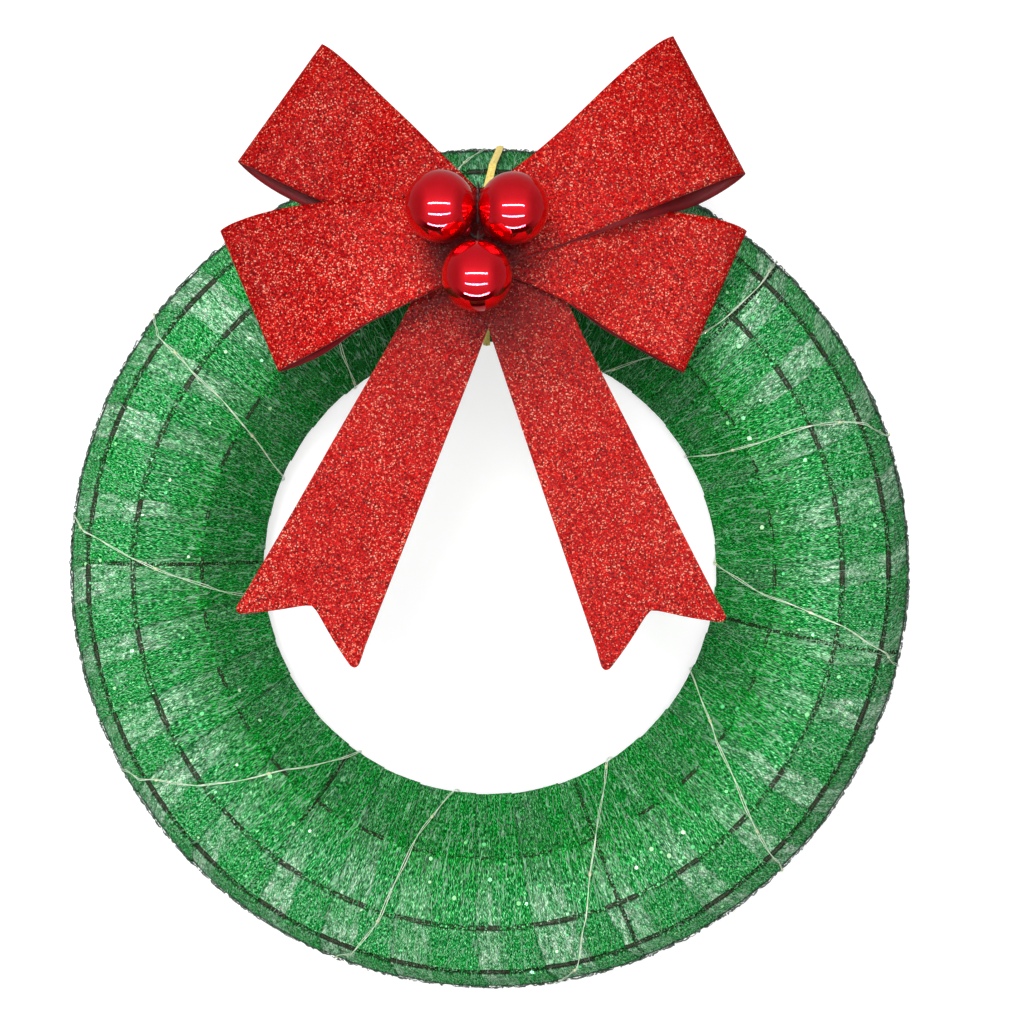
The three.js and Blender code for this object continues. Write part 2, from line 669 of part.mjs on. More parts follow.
function batteryGroup() {
  const group = new THREE.Group();
  const leafBack = CELL.back - FIT_GAP - CONTACT_THICKNESS;
  const seriesBack = CELL.back + CELL.thickness + FIT_GAP;
  const [leftCell, rightCell] = CELL_X;
  const end = BOX.x + BOX.length / 2 - BOX.wall - FIT_GAP;
  group.add(
    named('battery_case', caseGeometry(), FINISHES.plastic()),
    named('battery_lid', lidGeometry(), FINISHES.plastic()),
    named('coin_cell_left', cellGeometry(leftCell), FINISHES.steel()),
    named('coin_cell_right', cellGeometry(rightCell), FINISHES.steel()),
    named('series_contact', contactGeometry(leftCell - 5, rightCell + 5, 4, seriesBack), FINISHES.steel()),
    named('positive_contact', contactGeometry(rightCell - 4, end, 3, leafBack), FINISHES.steel()),
    named('negative_contact', contactGeometry(SWITCH.x, leftCell + 4, 3, leafBack), FINISHES.steel()),
    named('switch_body', switchBodyGeometry(), FINISHES.plastic()),
    named('switch_knob', knobGeometry(), FINISHES.knob()),
  );
  return group;
}

function bowGroup() {
  const group = new THREE.Group();
  const { upperLeft, lowerRight, upperRight, lowerLeft } = LOOPS;
  group.add(
    named('bow_left_tail', tailGeometry(TAILS.left, 0), FINISHES.ribbon()),
    named('bow_right_tail', tailGeometry(TAILS.right, 1), FINISHES.ribbon()),
    named('bow_back_strip', stripGeometry(upperLeft, lowerRight, STRIP_EASE.back, 0), FINISHES.ribbon()),
    named('bow_front_strip', stripGeometry(upperRight, lowerLeft, STRIP_EASE.front, 2), FINISHES.ribbon()),
    named('bow_binding_wire', bindingGeometry(), FINISHES.steel()),
    named('bow_tie_eye', eyeGeometry(), FINISHES.steel()),
  );
  Object.entries(BAUBLES).forEach(([side, spot]) => {
    const capStart = BAUBLE_RADIUS + FIT_GAP;
    const capEnd = capStart + CAP.length;
    const stemStart = capEnd + FIT_GAP;
    group.add(
      named(`bauble_${side}`, baubleGeometry(spot), FINISHES.bauble()),
      named(`bauble_cap_${side}`, stemPiece(spot, capStart, capEnd, CAP.radius, 12), FINISHES.cap()),
      named(`bauble_stem_${side}`, stemPiece(spot, stemStart, stemStart + 2.4, STEM_RADIUS, 6), FINISHES.steel()),
    );
  });
  return group;
}

const wreath = new THREE.Group();
wreath.add(
  frameGroup(),
  wrapGroup(),
  named('light_string', stringGeometry(), FINISHES.string()),
  named('twist_tie', tieGeometry(), FINISHES.tie()),
  batteryGroup(),
  bowGroup(),
);
wreath.position.z = -TUBE_RADIUS;

const model = new THREE.Group();
model.add(wreath);

export default model;
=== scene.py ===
"""Looks for a finished door wreath: wire frame, mesh ribbon, light string, twist tie, battery box and bow.

Shapes are laid out in millimetres about the wreath's centre as (x, z, height), with height measured forward
from its flat back, and turned into the row frame, in metres, by place().
"""
import math

import bmesh
import bpy
import numpy as np
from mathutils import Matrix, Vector


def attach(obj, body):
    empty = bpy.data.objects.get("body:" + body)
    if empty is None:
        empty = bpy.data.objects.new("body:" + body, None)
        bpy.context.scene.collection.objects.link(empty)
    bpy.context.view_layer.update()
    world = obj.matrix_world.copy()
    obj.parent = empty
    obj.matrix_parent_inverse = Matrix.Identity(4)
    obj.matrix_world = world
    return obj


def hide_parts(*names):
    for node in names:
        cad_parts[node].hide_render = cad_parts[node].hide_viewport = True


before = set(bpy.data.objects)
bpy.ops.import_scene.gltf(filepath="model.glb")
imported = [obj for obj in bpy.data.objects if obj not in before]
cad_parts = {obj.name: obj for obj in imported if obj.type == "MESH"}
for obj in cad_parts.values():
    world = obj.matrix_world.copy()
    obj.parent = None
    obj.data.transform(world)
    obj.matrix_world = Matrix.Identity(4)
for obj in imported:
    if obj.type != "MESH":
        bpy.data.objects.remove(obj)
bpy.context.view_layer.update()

# ---- Dimensions, millimetres and clock degrees ----

MM = 0.001
TUBE_RADIUS = 137.5
BACK_OFFSET = 1.75
RING_RADII = np.array([176.9, 160.2, 137.5, 114.8, 98.1])
RING_HEIGHTS = np.array([0, 27.2, 39.9, 27.2, 0]) + BACK_OFFSET
RING_NAMES = ["outer_back_ring", "outer_shoulder_ring", "crown_ring", "inner_shoulder_ring",
              "inner_back_ring"]
WIRE_RADIUS = 0.9
CROSSBAR_CLOCK = [43.6, 101.6, 158.2, 217, 271.5, 337.5]
CROSSBAR_INSET = 2.1

LENGTHS = 8
TURNS_PER_LENGTH = 4
TURNS = LENGTHS * TURNS_PER_LENGTH
TURN_PITCH = 360 / TURNS
WRAP_START = -1.9
WRAP_HALF_WIDTH = 26.5
WRAP_LOW = 1.08
WRAP_TILT = 0.72
WRAP_MIDDLE = 1.5
WRAP_THICKNESS = 0.22
WRAP_COLUMNS = 41
# The pattern is drawn out along the outer wall
OUTER_WALL_STRETCH = 0.3
# Where the mesh lies open over each ring: how far past it the middle is, half its width, how plain it is
RING_WINDOWS = [(0.5, 1.1, 0.4), (1.9, 1.7, 1.0), (0.2, 1.3, 0.86), (-0.8, 1.2, 0.68), (-3.3, 1.2, 0.4)]
FIBRES_PER_LENGTH = 420
EDGE_SHARE = 0.45
# Ranges for a fibre's start, how far it stands off, its length and its radius. Start and length are shares of
# the way over the front.
EDGE_FIBRE = ((0, 0.02), (0.05, 0.7), (0.012, 0.035), (0.14, 0.3))
FLAT_FIBRE = ((0, 0.9), (0.05, 0.35), (0.03, 0.1), (0.06, 0.12))
FLAKES_PER_LENGTH = 30

# Where the light string passes each ring on its way from the inner edge to the outer edge, clock degrees
CROSSINGS = [
    (28.5, 39, 43, 43.4, 43.2), (60, 63.8, 65.7, 68.5, 71.5), (87.5, 95, 98.6, 101.4, 103.6),
    (115.8, 126.5, 132.7, 135, 136.5), (146.6, 157.9, 164, 167.5, 171), (187.5, 195.3, 197.5, 199.8, 201),
    (215, 225.3, 234, 239, 242), (261.5, 267.3, 272.5, 275.6, 277.6), (292, 300.9, 304.3, 305.7, 307),
    (323, 327.5, 331, 334, 335),
]
STRING_OFFSET = 2.3
STRING_START = (-14, 143.6)
STRAND_RADIUS = 0.15
FIRST_LED = 30
LED_SPACING = 49

BOX_MIDDLE = 126.5
BOX_HALF_WIDTH = 13
BOX_BACK = 45.4
BOX_FRONT = 53.6
BOX_EDGE = BOX_MIDDLE + BOX_HALF_WIDTH
LID_REACH = BOX_HALF_WIDTH + 2.5
CELL_X = {"left": -7, "right": 13.4}
CELL_RADIUS = 10
CELL_BACK = 48.3
CELL_THICKNESS = 3.2

TIE_CLEARANCE = 3
TIE_HALF_WIDTH = 1.5
TIE_TWIST = (9.5, 140)

WAIST = (-3, 128)
WAIST_HALF = 15
RIBBON = 0.7
TAIL_BACK = 56.4
STRIP_BACK = 59.7
LAYER_STEP = 1
EYE_DEPTH = 54.6

# A loop's fold corners, the heights of its front and rear layers at the fold, how long its nose is, how far
# its edges bow outwards near the fold (front top, front bottom, rear top, rear bottom), and how far both
# layers' edges bow outwards near the waist (top, bottom)
LOOPS = {
    "upper_left": {"top": (-62.4, 200.2), "bottom": (-94.1, 156.1), "front": 56.4, "back": 49.4, "nose": 9,
                   "bow": (1.5, 0.9, 1.5, 3.9), "waist_bow": (0, 0)},
    "lower_right": {"top": (98.2, 130), "bottom": (74.3, 76.4), "front": 55, "back": 48.6, "nose": 7,
                    "bow": (3.1, 0.8, 2.1, 0.4), "waist_bow": (0, -4)},
    "upper_right": {"top": (70.2, 202.8), "bottom": (97.4, 151.2), "front": 58.5, "back": 48.6, "nose": 12,
                    "bow": (2.6, -0.3, 1.6, 2.8), "waist_bow": (-3.9, 2.4)},
    "lower_left": {"top": (-100.9, 129.9), "bottom": (-78.9, 76.9), "front": 55.4, "back": 48.6, "nose": 9,
                   "bow": (3.7, 0.3, 2.6, 1.0), "waist_bow": (0, 0)},
}
STRIPS = {
    "back": {"loops": ("upper_left", "lower_right"), "layer": 0, "front": (0.36, 0.7), "back": (0.34, 0.64)},
    "front": {"loops": ("upper_right", "lower_left"), "layer": 2, "front": (0.48, 0.95), "back": (0.5, 0.85)},
}
TAILS = {
    "left": {"root": (-0.5, 126), "tip": (-73.2, -25.8), "height": 50, "ease": (0.06, 0.32), "layer": 0,
             "half": (12.8, 25.6)},
    "right": {"root": (2.2, 128.6), "tip": (67.9, -27.8), "height": 51.5, "ease": (0.1, 0.36), "layer": 1,
              "half": (13.1, 25.3)},
}
TAIL_NOTCH = 15.6
TIP_ROUND = 3.4

BAUBLE_RADIUS = 12.5
BAUBLE_HEIGHT = 77.75
BAUBLES = {"left": (-16, 131.8), "right": (9.9, 131.1), "lower": (-3, 107.3)}
STEMS_MEET = (-3, 123.4, 65.4)

# The stage, in metres of the row frame
WALL_Y = 0.0052
FLOOR_Z = -0.352
CARD_GLOW = 0.7
FLOOR_GLOW = 0.5
TUBE_ELEVATIONS = (-5.5, -41, -79)
TUBE_DISTANCE = 0.9
ROOM_LIGHT = 0.13
ROOM_SIDES = 0.4
# How bright the mirrored room is, by elevation in degrees from straight ahead: 90 overhead, -90 underfoot
ROOM = [(-180, 0.4), (-131, 0.4), (-127, 0.01), (-84, 0.01), (-78, 0.6), (-45, 0.85), (-12, 1.15),
        (2, 1.05), (22, 0.75), (60, 0.55), (120, 0.45), (180, 0.5)]
CAMERA_SPOT = (0.0094, -0.44175, -0.1136)
VIEW_HALF_WIDTH = 218.6
VIEW_DISTANCE = 440

RNG = np.random.default_rng(11)
START_JITTER = RNG.normal(0, 0.75, TURNS)
LEAN_JITTER = RNG.normal(0, 1.0, TURNS)
WIDTH_JITTER = RNG.normal(0, 1.3, TURNS)
FRONT_ADVANCE = 4.5


def place(x, z, height):
    """Points about the wreath's centre in the row frame."""
    x, z, height = np.broadcast_arrays(np.asarray(x, float), z, height)
    return np.stack([x, -height, z - TUBE_RADIUS], axis=-1) * MM


def on_clock(clock, radius, height, outward=0, lift=0):
    """Points at clock angles (degrees clockwise from the top, seen from the front), lifted along the
    section's outward angle."""
    angle = np.radians(clock)
    radius = radius + lift * np.cos(outward)
    return place(radius * np.sin(angle), radius * np.cos(angle), height + lift * np.sin(outward))


def smoothstep(value, low, high):
    share = np.clip((np.asarray(value, float) - low) / (high - low), 0, 1)
    return share * share * (3 - 2 * share)


def unit(vectors):
    return vectors / np.maximum(np.linalg.norm(vectors, axis=-1, keepdims=True), 1e-12)


def distances(points):
    """How far along a path each of its points is."""
    return np.concatenate([[0], np.cumsum(np.linalg.norm(np.diff(points, axis=0), axis=1))])


# ---- Mesh helpers: a shape is its points, its faces and, for a slab, each face's side ----


def grid_faces(rows, columns, close_rows=False, close_columns=False):
    """Quads of a grid of points numbered row by row."""
    r = np.arange(rows if close_rows else rows - 1)
    c = np.arange(columns if close_columns else columns - 1)
    r, c = np.meshgrid(r, c, indexing="ij")
    r_next, c_next = (r + 1) % rows, (c + 1) % columns
    quads = [r * columns + c, r * columns + c_next, r_next * columns + c_next, r_next * columns + c]
    return np.stack(quads, axis=-1).reshape(-1, 4)


def slab(outer, inner, close_rows=False):
    """A sheet with thickness from two grids of points. Its sides are 0 outer, 1 inner, 2 edge."""
    rows, columns = outer.shape[:2]
    count = rows * columns
    front = grid_faces(rows, columns, close_rows)
    back = front[:, ::-1] + count
    r = np.arange(rows if close_rows else rows - 1)
    c = np.arange(columns - 1)
    borders = [(r * columns + column, (r + 1) % rows * columns + column, turn)
               for column, turn in ((0, 1), (columns - 1, -1))]
    if not close_rows:
        borders += [(row * columns + c, row * columns + c + 1, turn)
                    for row, turn in ((0, -1), (rows - 1, 1))]
    edges = np.concatenate([np.stack([a, b, b + count, a + count], axis=-1)[:, ::turn]
                            for a, b, turn in borders])
    sides = np.repeat([0, 1, 2], [len(front), len(back), len(edges)])
    points = np.concatenate([outer.reshape(-1, 3), inner.reshape(-1, 3)])
    return points, np.concatenate([front, back, edges]).tolist(), sides


def slopes(rows, closed):
    """The direction from row to row of a path or a grid."""
    return np.roll(rows, -1, axis=0) - np.roll(rows, 1, axis=0) if closed else np.gradient(rows, axis=0)


def frames_along(path, closed=False):
    """Two directions square to a path at each of its points, turning as little as possible along it."""
    tangent = unit(slopes(path, closed))
    side = np.zeros_like(path)
    side[0] = unit(np.cross(tangent[0], np.eye(3)[np.argmin(np.abs(tangent[0]))]))
    for i in range(1, len(path)):
        side[i] = unit(side[i - 1] - tangent[i] * np.dot(side[i - 1], tangent[i]))
    return side, np.cross(tangent, side)


def circle(sides):
    """Cosines and sines round a circle, shaped to spread over rows of points."""
    angle = np.linspace(0, 2 * math.pi, sides, endpoint=False)[None, :, None]
    return np.cos(angle), np.sin(angle)


def sweep(path, radius, sides=8, closed=False):
    """A round wire along a path; radius may change along it."""
    side, other = frames_along(path, closed)
    radius = np.broadcast_to(radius, len(path))[:, None, None]
    cosine, sine = circle(sides)
    rings = path[:, None] + radius * (cosine * side[:, None] + sine * other[:, None])
    faces = grid_faces(len(path), sides, closed, True).tolist()
    if not closed:
        faces += [list(range(sides)), [(len(path) - 1) * sides + i for i in range(sides)][::-1]]
    return rings.reshape(-1, 3), faces


def lathe(profile, start, axis, sides):
    """A closed turned shape: profile holds (distance along the axis, radius), its ends on the axis."""
    profile = np.array(profile) * MM
    axis = unit(np.asarray(axis, float))
    side = unit(np.cross(axis, np.eye(3)[np.argmin(np.abs(axis))]))
    cosine, sine = circle(sides)
    along, radius = profile[1:-1].T[:, :, None, None]
    rings = start + along * axis + radius * (cosine * side + sine * np.cross(axis, side))
    ends = np.array([start + profile[0][0] * axis, start + profile[-1][0] * axis])
    count = rings.shape[0] * sides
    last = count - sides
    faces = grid_faces(rings.shape[0], sides, False, True).tolist()
    for i in range(sides):
        faces += [[count, (i + 1) % sides, i], [count + 1, last + i, last + (i + 1) % sides]]
    return np.concatenate([rings.reshape(-1, 3), ends]), faces


def joined(shapes):
    """One shape from several."""
    points, faces, offset = [], [], 0
    for shape_points, shape_faces in shapes:
        points.append(shape_points)
        faces += [[index + offset for index in face] for face in shape_faces]
        offset += len(shape_points)
    return np.concatenate(points), faces


def linked(name, data):
    """A new object in the scene that holds some data."""
    obj = bpy.data.objects.new(name, data)
    bpy.context.scene.collection.objects.link(obj)
    return obj


def piece(name, shape, materials, body, node=None, attributes=None, facets=False):
    """A mesh object in the row frame that rides on a CAD body and may stand for a CAD node."""
    points, faces, *sides = shape
    mesh = bpy.data.meshes.new(name)
    mesh.from_pydata(points.tolist(), [], faces)
    for material in materials:
        mesh.materials.append(material)
    if sides:
        mesh.polygons.foreach_set("material_index", np.minimum(sides[0], len(materials) - 1).astype(np.int32))
    mesh.polygons.foreach_set("use_smooth", np.full(len(mesh.polygons), not facets))
    for key, values in (attributes or {}).items():
        layer = mesh.attributes.new(key, "FLOAT", "POINT")
        layer.data.foreach_set("value", np.asarray(values, np.float32).ravel())
    mesh.update()
    face_outwards(mesh)
    obj = linked(name, mesh)
    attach(obj, body)
    if node:
        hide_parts(node)


def face_outwards(mesh):
    """Turns a closed mesh inside out if its volume is negative."""
    copy = bmesh.new()
    copy.from_mesh(mesh)
    if copy.calc_volume(signed=True) < 0:
        mesh.flip_normals()
    copy.free()


def through(points, steps):
    """A smooth curve through points (Catmull-Rom), with a number of steps between neighbours."""
    padded = np.concatenate([2 * points[:1] - points[1:2], points, 2 * points[-1:] - points[-2:-1]])
    t = np.linspace(0, 1, steps, endpoint=False)[:, None]
    spans = []
    for a, b, c, d in zip(padded, padded[1:], padded[2:], padded[3:]):
        spans.append(b + 0.5 * t * (c - a + t * (2 * a - 5 * b + 4 * c - d + t * (3 * (b - c) + d - a))))
    return np.concatenate(spans + [points[-1:]])


def rounded(points, cuts=2, share=0.25):
    """A path with its corners cut, its ends kept."""
    for _ in range(cuts):
        a, b = points[:-1], points[1:]
        middle = np.stack([a + share * (b - a), b - share * (b - a)], axis=1).reshape(-1, points.shape[1])
        points = np.concatenate([points[:1], middle[1:-1], points[-1:]])
    return points


# ---- Materials ----


class Value:
    """A node's output. Arithmetic on it adds the nodes that work it out."""

    def __init__(self, nodes, socket):
        self.nodes, self.socket = nodes, socket

    def other(self, name):
        """Another output of the same node."""
        return Value(self.nodes, self.socket.node.outputs[name])

    def maths(self, operation, other=0.5):
        return self.nodes.add("Math", (self, other), operation=operation)

    def __add__(self, other):
        return self.maths("ADD", other)

    def __sub__(self, other):
        return self.maths("SUBTRACT", other)

    def __mul__(self, other):
        return self.maths("MULTIPLY", other)

    def __truediv__(self, other):
        return self.maths("DIVIDE", other)

    def most(self, other):
        return self.maths("MAXIMUM", other)

    def size(self):
        return self.maths("ABSOLUTE")

    def span(self, low, high, to_low=0.0, to_high=1.0, kind="SMOOTHSTEP"):
        """The value mapped from one range to another, and held at its ends."""
        return self.nodes.add("MapRange", (self, low, high, to_low, to_high), interpolation_type=kind)

    def ramp(self, *stops):
        """The colour at this value, from stops of (value, colour)."""
        colour = self.nodes.add("ValToRGB", [self])
        bands = colour.socket.node.color_ramp.elements
        while len(bands) < len(stops):
            bands.new(1)
        for band, (position, shade) in zip(bands, stops):
            band.position = position
            band.color = (*shade, 1)
        return colour


class Nodes:
    """A node tree, with one short call for each kind of node."""

    def __init__(self, tree):
        self.tree = tree

    def feed(self, socket, value):
        if isinstance(value, Value):
            self.tree.links.new(value.socket, socket)
        else:
            socket.default_value = (*value, 1) if socket.type == "RGBA" else value

    def add(self, kind, inputs=(), output=0, **settings):
        """A new node's output, with its inputs fed in order or by name."""
        node = self.tree.nodes.new("ShaderNode" + kind)
        for key, value in settings.items():
            setattr(node, key, value)
        for key, value in inputs.items() if isinstance(inputs, dict) else enumerate(inputs):
            self.feed(node.inputs[key], value)
        return Value(self, node.outputs[output])

    def vector(self, operation, a, b=(0, 0, 0), scale=1.0, output="Vector"):
        return self.add("VectorMath", {0: a, 1: b, 3: scale}, output, operation=operation)

    def noise(self, spot, scale, detail=2.0):
        return self.add("TexNoise", {"Vector": spot, "Scale": scale, "Detail": detail})

    def blend(self, factor, a, b, mode="MIX"):
        return self.add("Mix", {0: factor, 6: a, 7: b}, 2, data_type="RGBA", blend_type=mode)


class Look(Nodes):
    """A material's nodes. Its patterns are laid out in millimetres."""

    def __init__(self, name):
        self.material = bpy.data.materials.new(name)
        self.material.use_nodes = True
        super().__init__(self.material.node_tree)
        self.surface = self.tree.nodes["Principled BSDF"]
        self.place = self.vector("SCALE", self.add("TexCoord", output="Object"), scale=1 / MM)

    def stretched(self, *factors):
        return self.vector("MULTIPLY", self.place, factors)

    def grain(self, scale, detail=2.0):
        return self.noise(self.place, scale, detail)

    def attribute(self, name):
        return self.add("Attribute", output="Fac", attribute_name=name)

    def geometry(self, output):
        return self.add("NewGeometry", output=output)

    def set(self, **inputs):
        for key, value in inputs.items():
            self.feed(self.surface.inputs[key.replace("_", " ")], value)

    def tones(self, factor, dark, light, low=0.3, high=0.7):
        """A base colour that runs from dark to light as the factor rises."""
        self.set(Base_Color=factor.ramp((low, dark), (high, light)))

    def rough(self, factor, at_low, at_high, low=0.3, high=0.7):
        self.set(Roughness=factor.span(low, high, at_low, at_high))

    def bump(self, height, distance, strength=1.0):
        self.set(Normal=self.add("Bump", {"Strength": strength, "Distance": distance * MM, "Height": height}))

    def glow(self, strength):
        """White light that only the camera sees."""
        to_camera = self.add("LightPath", output="Is Camera Ray")
        self.set(Emission_Color=(1, 1, 1), Emission_Strength=to_camera * strength)


def wire_finish(name, dark, light, roughness, metallic):
    """Drawn or painted wire: patchy colour, fine scratches and an uneven shine."""
    look = Look(name)
    scratches = look.grain(3.6, 3)
    look.tones(look.grain(0.35, 4), dark, light, 0.35, 0.65)
    look.rough(scratches, roughness - 0.12, roughness + 0.15)
    look.set(Metallic=metallic)
    look.bump(scratches, 0.06)
    return look.material


def frame_wire():
    """Brown lacquered steel with rust blooming in patches."""
    look = Look("frame_wire")
    rust = look.grain(0.25, 5)
    grain = look.grain(3, 4)
    lacquer = grain.ramp((0.3, (0.016, 0.012, 0.008)), (0.75, (0.05, 0.036, 0.022)))
    look.set(Base_Color=look.blend(rust.span(0.55, 0.7), lacquer, (0.08, 0.035, 0.018)))
    look.rough(rust, 0.5, 0.8, 0.45)
    look.set(Metallic=0.1, Specular_IOR_Level=0.25)
    look.bump(grain, 0.12)
    return look.material


def moulded_plastic(name, colour, roughness):
    """Moulded plastic: faint flow marks, a fine spark-eroded grain, edges rubbed a little lighter."""
    look = Look(name)
    flow = look.noise(look.stretched(0.05, 0.3, 0.3), 1, 3)
    grain = look.grain(9)
    lighter, worn = (tuple(value * gain + more for value in colour)
                     for gain, more in ((1.35, 0.01), (1.5, 0.03)))
    tone = flow.ramp((0.3, colour), (0.7, lighter))
    look.set(Base_Color=look.blend(look.geometry("Pointiness").span(0.52, 0.6), tone, worn))
    look.rough(grain, roughness - 0.08, roughness + 0.1)
    look.bump(grain, 0.05)
    return look.material


def cell_steel():
    """Nickel-plated steel: fine turned lines, fingermarks, small matt spots."""
    look = Look("cell_steel")
    marks = look.grain(0.4, 4)
    look.tones(marks, (0.55, 0.55, 0.54), (0.76, 0.76, 0.75), 0.35)
    look.rough(marks, 0.18, 0.4, 0.35)
    look.set(Metallic=1)
    look.bump(look.noise(look.stretched(0.4, 3, 6), 1, 3), 0.04)
    return look.material


def red_glitter():
    """Glitter ribbon: tiny flakes glued over red film, each tipped its own way, the palest of them painted
    glints. A point attribute holds painted shade: it rises to 1 at the waist of the bow, where the glitter is
    darkened most."""
    look = Look("red_glitter")
    flake = look.add("TexVoronoi", {"Vector": look.place, "Scale": 2.1}, "Color")
    flake_tone_and_glint, own_shine = (look.add("SeparateColor", [flake], channel) for channel in ("Red", "Green"))
    # Each flake gets its own red, dark to bright; the palest salmon-white flakes are painted glints
    tone = (flake_tone_and_glint + look.grain(0.07, 3).span(0.3, 0.7, -0.04, 0.03)).ramp(
        (0, (0.2, 0.001, 0.001)), (0.3, (0.46, 0, 0)), (0.7, (0.7, 0.002, 0.001)),
        (0.8, (0.82, 0.025, 0.015)), (0.92, (0.96, 0.17, 0.1)), (1, (1, 0.46, 0.32)),
    )
    tone = look.blend(flake.other("Distance").span(0.5, 0.75), tone, (0.1, 0.001, 0.002))
    # Painted shade: the tone is taken most of the way to dark red where the shade attribute is high
    tone = look.blend(look.attribute("dull"), tone, look.blend(0.9, tone, (0.05, 0.001, 0.002)))
    look.set(Base_Color=tone, Specular_IOR_Level=0.04)
    look.rough(own_shine, 0.35, 0.65, 0, 1)
    tilt = look.vector("SCALE", look.vector("SUBTRACT", flake, (0.5, 0.5, 0.5)), scale=0.6)
    look.set(Normal=look.vector("NORMALIZE", look.vector("ADD", look.geometry("Normal"), tilt)))
    return look.material


def ribbon_inside():
    """The plain crimson back of the glitter ribbon: smooth film with a faint weave."""
    look = Look("ribbon_inside")
    weave = look.noise(look.stretched(1, 1, 6), 1.5)
    look.tones(look.grain(0.12, 3), (0.16, 0.001, 0.004), (0.25, 0.002, 0.007))
    look.rough(weave, 0.5, 0.7)
    look.set(Specular_IOR_Level=0.1)
    look.bump(weave, 0.05)
    return look.material


def ribbon_edge():
    """The cut edge of the ribbon: dark dyed core."""
    look = Look("ribbon_edge")
    grain = look.grain(3, 3)
    look.tones(grain, (0.1, 0.004, 0.008), (0.26, 0.012, 0.014))
    look.set(Roughness=0.7)
    look.bump(grain, 0.1)
    return look.material


def bauble_red():
    """Metallised red plastic under clear lacquer, with a very faint moulding ripple."""
    look = Look("bauble_red")
    ripple = look.grain(0.12)
    look.tones(ripple, (0.78, 0.001, 0.008), (0.85, 0.002, 0.014))
    look.rough(look.grain(6), 0.04, 0.12, 0.5, 0.8)
    look.set(Metallic=0.92, Coat_Weight=0.25, Coat_Roughness=0.02)
    look.bump(ripple, 0.12, 0.35)
    return look.material


def gold_tie():
    """Gold foil over paper: creases across it and a rubbed, uneven shine."""
    look = Look("gold_tie")
    creases = look.noise(look.stretched(0.5, 1.5, 1.5), 1.2, 4)
    look.tones(creases, (0.85, 0.55, 0.07), (1, 0.84, 0.26), 0.3, 0.6)
    look.rough(creases, 0.28, 0.5)
    look.set(Metallic=0.15)
    look.bump(creases, 0.25)
    return look.material


def led_resin():
    """A drop of milky resin round the LED."""
    look = Look("led_resin")
    cloud = look.grain(1.5)
    look.tones(cloud, (0.6, 0.75, 0.35), (0.95, 0.95, 0.66))
    look.set(Roughness=0.15, Transmission_Weight=0.2, Coat_Weight=0.6)
    look.bump(cloud, 0.08)
    return look.material


def mesh_fibre():
    """Loose plastic fibres, each its own shade of green, and all dark at the wreath's rim."""
    look = Look("mesh_fibre")
    dark, middle, light = (0.001, 0.05, 0.014), (0.2005, 0.4, 0.237), (0.4, 0.75, 0.46)
    grain = look.grain(2)
    shade = look.geometry("Random Per Island") + grain.span(0.2, 0.8, -0.15, 0.15)
    colour = shade.ramp((0.1, dark), (0.6, middle), (0.95, light))
    from_axis = look.vector("DISTANCE", look.stretched(1, 0, 1), (0, 0, -TUBE_RADIUS), output="Value")
    look.set(Base_Color=look.blend(from_axis.span(173, 177, 0, 0.85), colour, dark), Sheen_Weight=0.2)
    look.rough(grain, 0.3, 0.5)
    look.bump(grain, 0.05)
    return look.material


def mesh_glitter():
    """Glitter flakes stuck in the mesh."""
    look = Look("mesh_glitter")
    own = look.geometry("Random Per Island")
    look.set(Base_Color=own.ramp((0, (0.08, 0.75, 0.25)), (0.6, (0.3, 0.95, 0.36)), (1, (0.7, 1, 0.6))))
    look.set(Metallic=0.1, Roughness=0.35)
    look.bump(look.grain(2, 1), 0.2)
    return look.material


